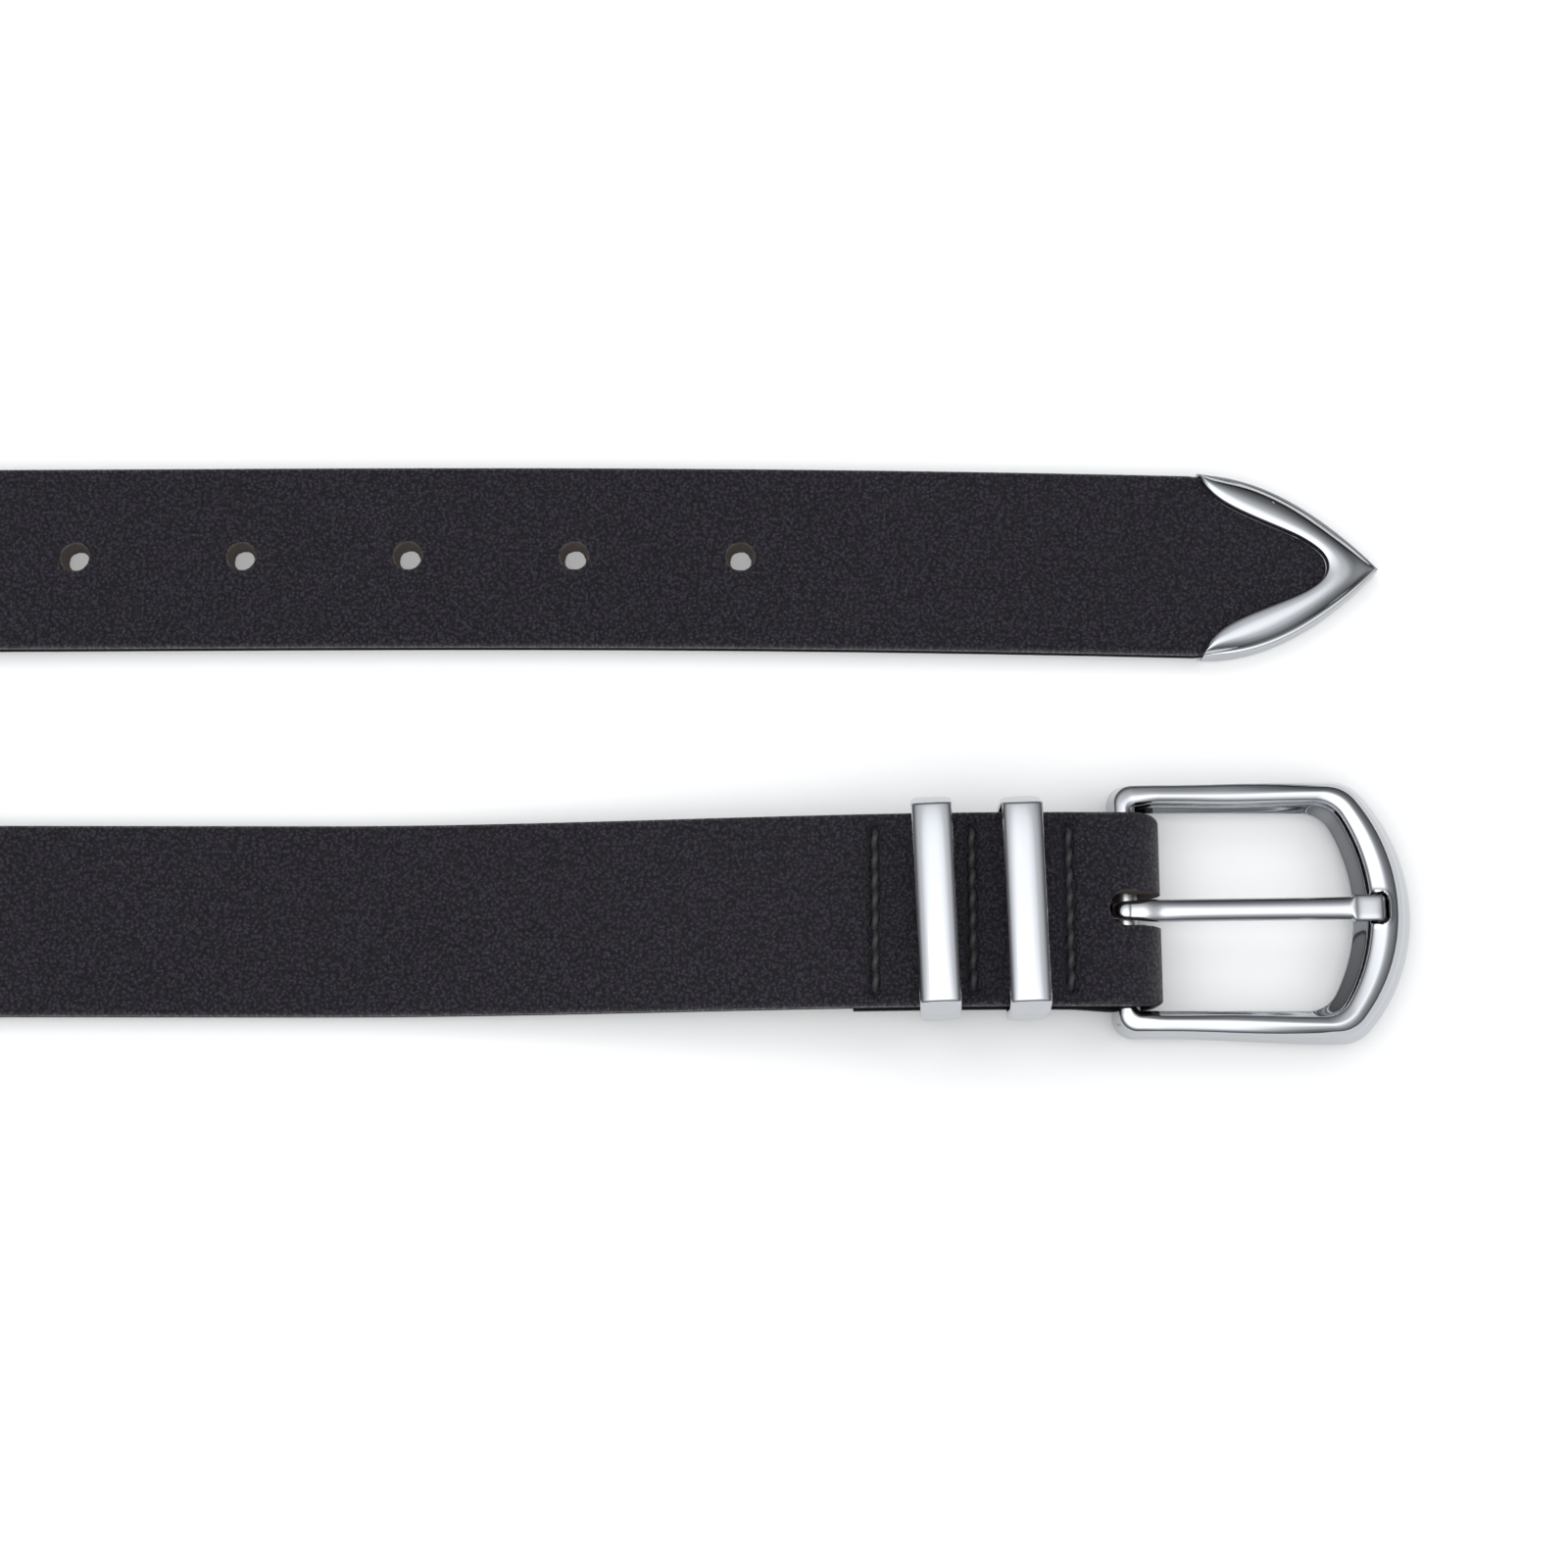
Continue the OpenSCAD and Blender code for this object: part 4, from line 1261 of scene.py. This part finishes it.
    def screws(self):
        """Two screws with flat heads: a profile of radii and heights swept round, and a straight slot
        pressed across each head, turned differently."""
        low, high = corners("tip_screws")
        head_r = (high[0] - low[0]) / 2
        shank_r = head_r * 0.58
        apart = (high[1] - low[1]) / 2 - head_r
        head_z = low[2]
        middle_at = (low[0] + high[0]) / 2
        profile = np.concatenate([np.stack([np.linspace(0.0, head_r * 0.94, 14), np.full(14, head_z)], 1),
                                  [[head_r, head_z + 0.00008], [head_r, head_z + 0.00045],
                                   [shank_r, head_z + 0.00075], [shank_r, high[2] - 0.0001],
                                   [shank_r * 0.8, high[2]], [0.0, high[2]]]])
        angle = np.linspace(0, 2 * math.pi, 73)[:-1]
        whole, faces = [], []
        for k, sign in enumerate((-1, 1)):
            x = middle_at + profile[:, :1] * np.cos(angle)
            y = TAIL_Y + sign * apart + bow(middle_at) + profile[:, :1] * np.sin(angle)
            z = np.repeat(profile[:, 1:], len(angle), 1)
            off = np.abs(profile[:, :1] * np.sin(angle + 0.6 + 1.1 * k))
            z = np.where(z < head_z + 0.00005, z + 0.00032 * smooth((0.00026 - off) / 0.00007), z)
            ring = np.stack([x, y, z], -1)
            faces += [[v + len(whole) * ring[..., 0].size for v in f]
                      for f in tube_faces(*ring.shape[:2], caps=False)]
            whole.append(ring.reshape(-1, 3))
        screws = mesh_object("slotted_screws", np.concatenate(whole), faces, plain_metal(), 30)
        settle(screws, "tail", "plain_metal", "tip_screws")


# ---- stage
class BELT_OT_stage(Operator):
    """Pale floor, soft studio light and the camera"""
    bl_idname = "belt.stage"
    bl_label = "Stage"

    def execute(self, context):
        self.floor()
        self.backdrop()
        self.sky()
        self.lights()
        self.camera()
        context.scene.view_settings.view_transform = "Standard"
        return {"FINISHED"}

    def floor(self):
        """A level floor just under the belt, as a grid of squares."""
        t = np.linspace(-6.0, 6.0, 41)
        x, y = np.meshgrid(t, t, indexing="ij")
        verts = np.stack([x.ravel(), y.ravel(), np.full(x.size, -0.00002)], 1)
        i, j = np.meshgrid(np.arange(40), np.arange(40), indexing="ij")
        a = i * 41 + j
        quads = np.stack([a, a + 41, a + 42, a + 1], -1).reshape(-1, 4).tolist()
        self.piece("floor", verts, quads)

    def backdrop(self):
        """A faintly glowing round wall that only the camera sees. Its foot curves up out of the floor:
        the height grows with the square of the way up, and the radius eases out over the first third of
        it."""
        t = np.linspace(0, 1, 25)[:, None]
        foot = np.minimum(t * 3, 1)
        out = 4.5 + 1.4 * foot * (2 - foot)
        x, y = out * np.cos(ROUND_64), out * np.sin(ROUND_64)
        verts = np.stack([x, y, 0.0001 + 6.0 * t * t + 0 * x], -1)
        obj = self.piece("backdrop", verts.reshape(-1, 3), tube_faces(*verts.shape[:2], caps=False))
        shader = obj.data.materials[0].node_tree.nodes["Principled BSDF"]
        shader.inputs["Emission Color"].default_value = (0.97, 0.985, 1.0, 1)
        shader.inputs["Emission Strength"].default_value = 0.12
        obj.visible_diffuse = obj.visible_glossy = obj.visible_transmission = obj.visible_shadow = False

    def piece(self, name, verts, faces):
        """A smooth piece of the stage in its own pale paint."""
        mesh = bpy.data.meshes.new(name)
        mesh.from_pydata(verts, [], faces)
        mesh.polygons.foreach_set("use_smooth", np.ones(len(mesh.polygons), bool))
        mesh.materials.append(stage_material((0.93, 0.93, 0.925), 0.9))
        obj = bpy.data.objects.new(name, mesh)
        bpy.context.scene.collection.objects.link(obj)
        return obj

    def sky(self):
        """The polished metal reflects a bright ceiling, a little towards the viewer, over darker walls.
        Matt surfaces are lit by a bright ring half way up the walls instead, so that the leather keeps
        its depth."""
        world = bpy.data.worlds.new("studio")
        bpy.context.scene.world = world
        world.use_nodes = True
        tree = world.node_tree
        place = tree.nodes.new("ShaderNodeTexCoord")
        background = tree.nodes["Background"]

        def ramp(up, stops):
            """Brightness that changes with the height of the direction looked in, along up."""
            height = tree.nodes.new("ShaderNodeVectorMath")
            height.operation = "DOT_PRODUCT"
            height.inputs[1].default_value = up
            tree.links.new(place.outputs["Generated"], height.inputs[0])
            node = tree.nodes.new("ShaderNodeValToRGB")
            tree.links.new(height.outputs["Value"], node.inputs["Fac"])
            for k, (at, value) in enumerate(stops):
                element = node.color_ramp.elements[k] if k < 2 else node.color_ramp.elements.new(at)
                element.position = at
                element.color = (value * 0.97, value * 0.985, value, 1)
            return node.outputs["Color"]

        ceiling = ramp((-0.04, -0.14, 0.989), [(0.0, 0.015), (0.10, 0.035), (0.30, 0.085), (0.50, 0.13),
                                               (0.70, 0.24), (0.86, 0.50), (0.955, 1.0), (1.0, 1.0)])
        ring = ramp((0, 0, 1), [(0.0, 0.10), (0.45, 0.20), (0.56, 0.90), (0.81, 0.95), (0.88, 0.05),
                                (1.0, 0.05)])
        chosen = tree.nodes.new("ShaderNodeMix")
        chosen.data_type = "RGBA"
        light_path = tree.nodes.new("ShaderNodeLightPath")
        tree.links.new(light_path.outputs["Is Diffuse Ray"], chosen.inputs["Factor"])
        tree.links.new(ceiling, chosen.inputs["A"])
        tree.links.new(ring, chosen.inputs["B"])
        tree.links.new(chosen.outputs["Result"], background.inputs["Color"])
        background.inputs["Strength"].default_value = 2.1

    def lights(self):
        """A soft box overhead and four large fills round it, which the metal doesn't reflect."""
        self.soft_box("ceiling", (0.10, -0.05, 0.95), (0.16, 0, 0), (0.45, 0.30), 0.35, True)
        for k, (x, y) in enumerate(((0.1, -1.3), (0.1, 1.3), (-1.2, 0.0), (1.4, 0.0))):
            self.soft_box(f"fill_{k}", (x, y, 0.95), (0.1, 0, 0), (1.2, 1.2), 0.9, False)

    def soft_box(self, name, place, target, size, power, shows_in_metal):
        """An area light of size at place, turned to target."""
        data = bpy.data.lights.new(name, "AREA")
        data.shape = "RECTANGLE"
        data.size, data.size_y = size
        data.energy = power
        obj = bpy.data.objects.new(name, data)
        bpy.context.scene.collection.objects.link(obj)
        obj.matrix_world = looking(np.array(place, float), np.array(target, float))
        obj.visible_glossy = shows_in_metal

    def camera(self):
        """The camera above the buckle, leaning back by the tilt."""
        tilt, roll = math.radians(12.0), math.radians(0.08)
        place = np.array([BAR[0] - 0.0495, -0.0826, 0.3560])
        aim = place + np.array([0, math.sin(tilt), -math.cos(tilt)])
        data = bpy.data.cameras.new("camera")
        data.sensor_width = 36.0
        data.lens = 36.0 * 2500 / 1600
        data.clip_start, data.clip_end = 0.01, 50
        obj = bpy.data.objects.new("camera", data)
        bpy.context.scene.collection.objects.link(obj)
        obj.matrix_world = looking(place, aim) @ Matrix.Rotation(roll, 4, "Z")
        bpy.context.scene.camera = obj


def looking(place, target):
    """A camera's or light's matrix at place, looking at target, with +Y of the frame up in its view."""
    ahead = (target - place) / np.linalg.norm(target - place)
    right = np.cross(ahead, [0.0, 1.0, 0.0])
    if np.linalg.norm(right) < 0.2:
        right = np.cross(ahead, [0.0, 0.0, 1.0])
    right /= np.linalg.norm(right)
    up = np.cross(right, ahead)
    m = np.eye(4)
    m[:3, 0], m[:3, 1], m[:3, 2], m[:3, 3] = right, up, -ahead, place
    return Matrix(m.tolist())


class BELT_PT_panel(Panel):
    """Lists the belt's pieces, sizes and colours"""
    bl_label = "Belt"
    bl_space_type = "VIEW_3D"
    bl_region_type = "UI"
    bl_category = "Belt"

    def draw(self, context):
        for group in (context.scene.belt_sizes, context.scene.belt_colours):
            box = self.layout.box()
            for name in group.__annotations__:
                box.prop(group, name)
        for operator in PIECES:
            self.layout.operator(operator.bl_idname)


PIECES = (BELT_OT_face, BELT_OT_backing, BELT_OT_stitching, BELT_OT_buckle, BELT_OT_prong, BELT_OT_keepers,
          BELT_OT_tip, BELT_OT_stage)
CLASSES = (BeltSizes, BeltColours, *PIECES, BELT_PT_panel)


def register():
    for cls in CLASSES:
        bpy.utils.register_class(cls)
    bpy.types.Scene.belt_sizes = PointerProperty(type=BeltSizes)
    bpy.types.Scene.belt_colours = PointerProperty(type=BeltColours)


def unregister():
    del bpy.types.Scene.belt_colours
    del bpy.types.Scene.belt_sizes
    for cls in reversed(CLASSES):
        bpy.utils.unregister_class(cls)


def main():
    register()
    bpy.ops.belt.face()
    bpy.ops.belt.backing()
    bpy.ops.belt.stitching()
    bpy.ops.belt.buckle()
    bpy.ops.belt.prong()
    bpy.ops.belt.keepers()
    bpy.ops.belt.tip()
    bpy.ops.belt.stage()


if __name__ == "__main__":
    main()
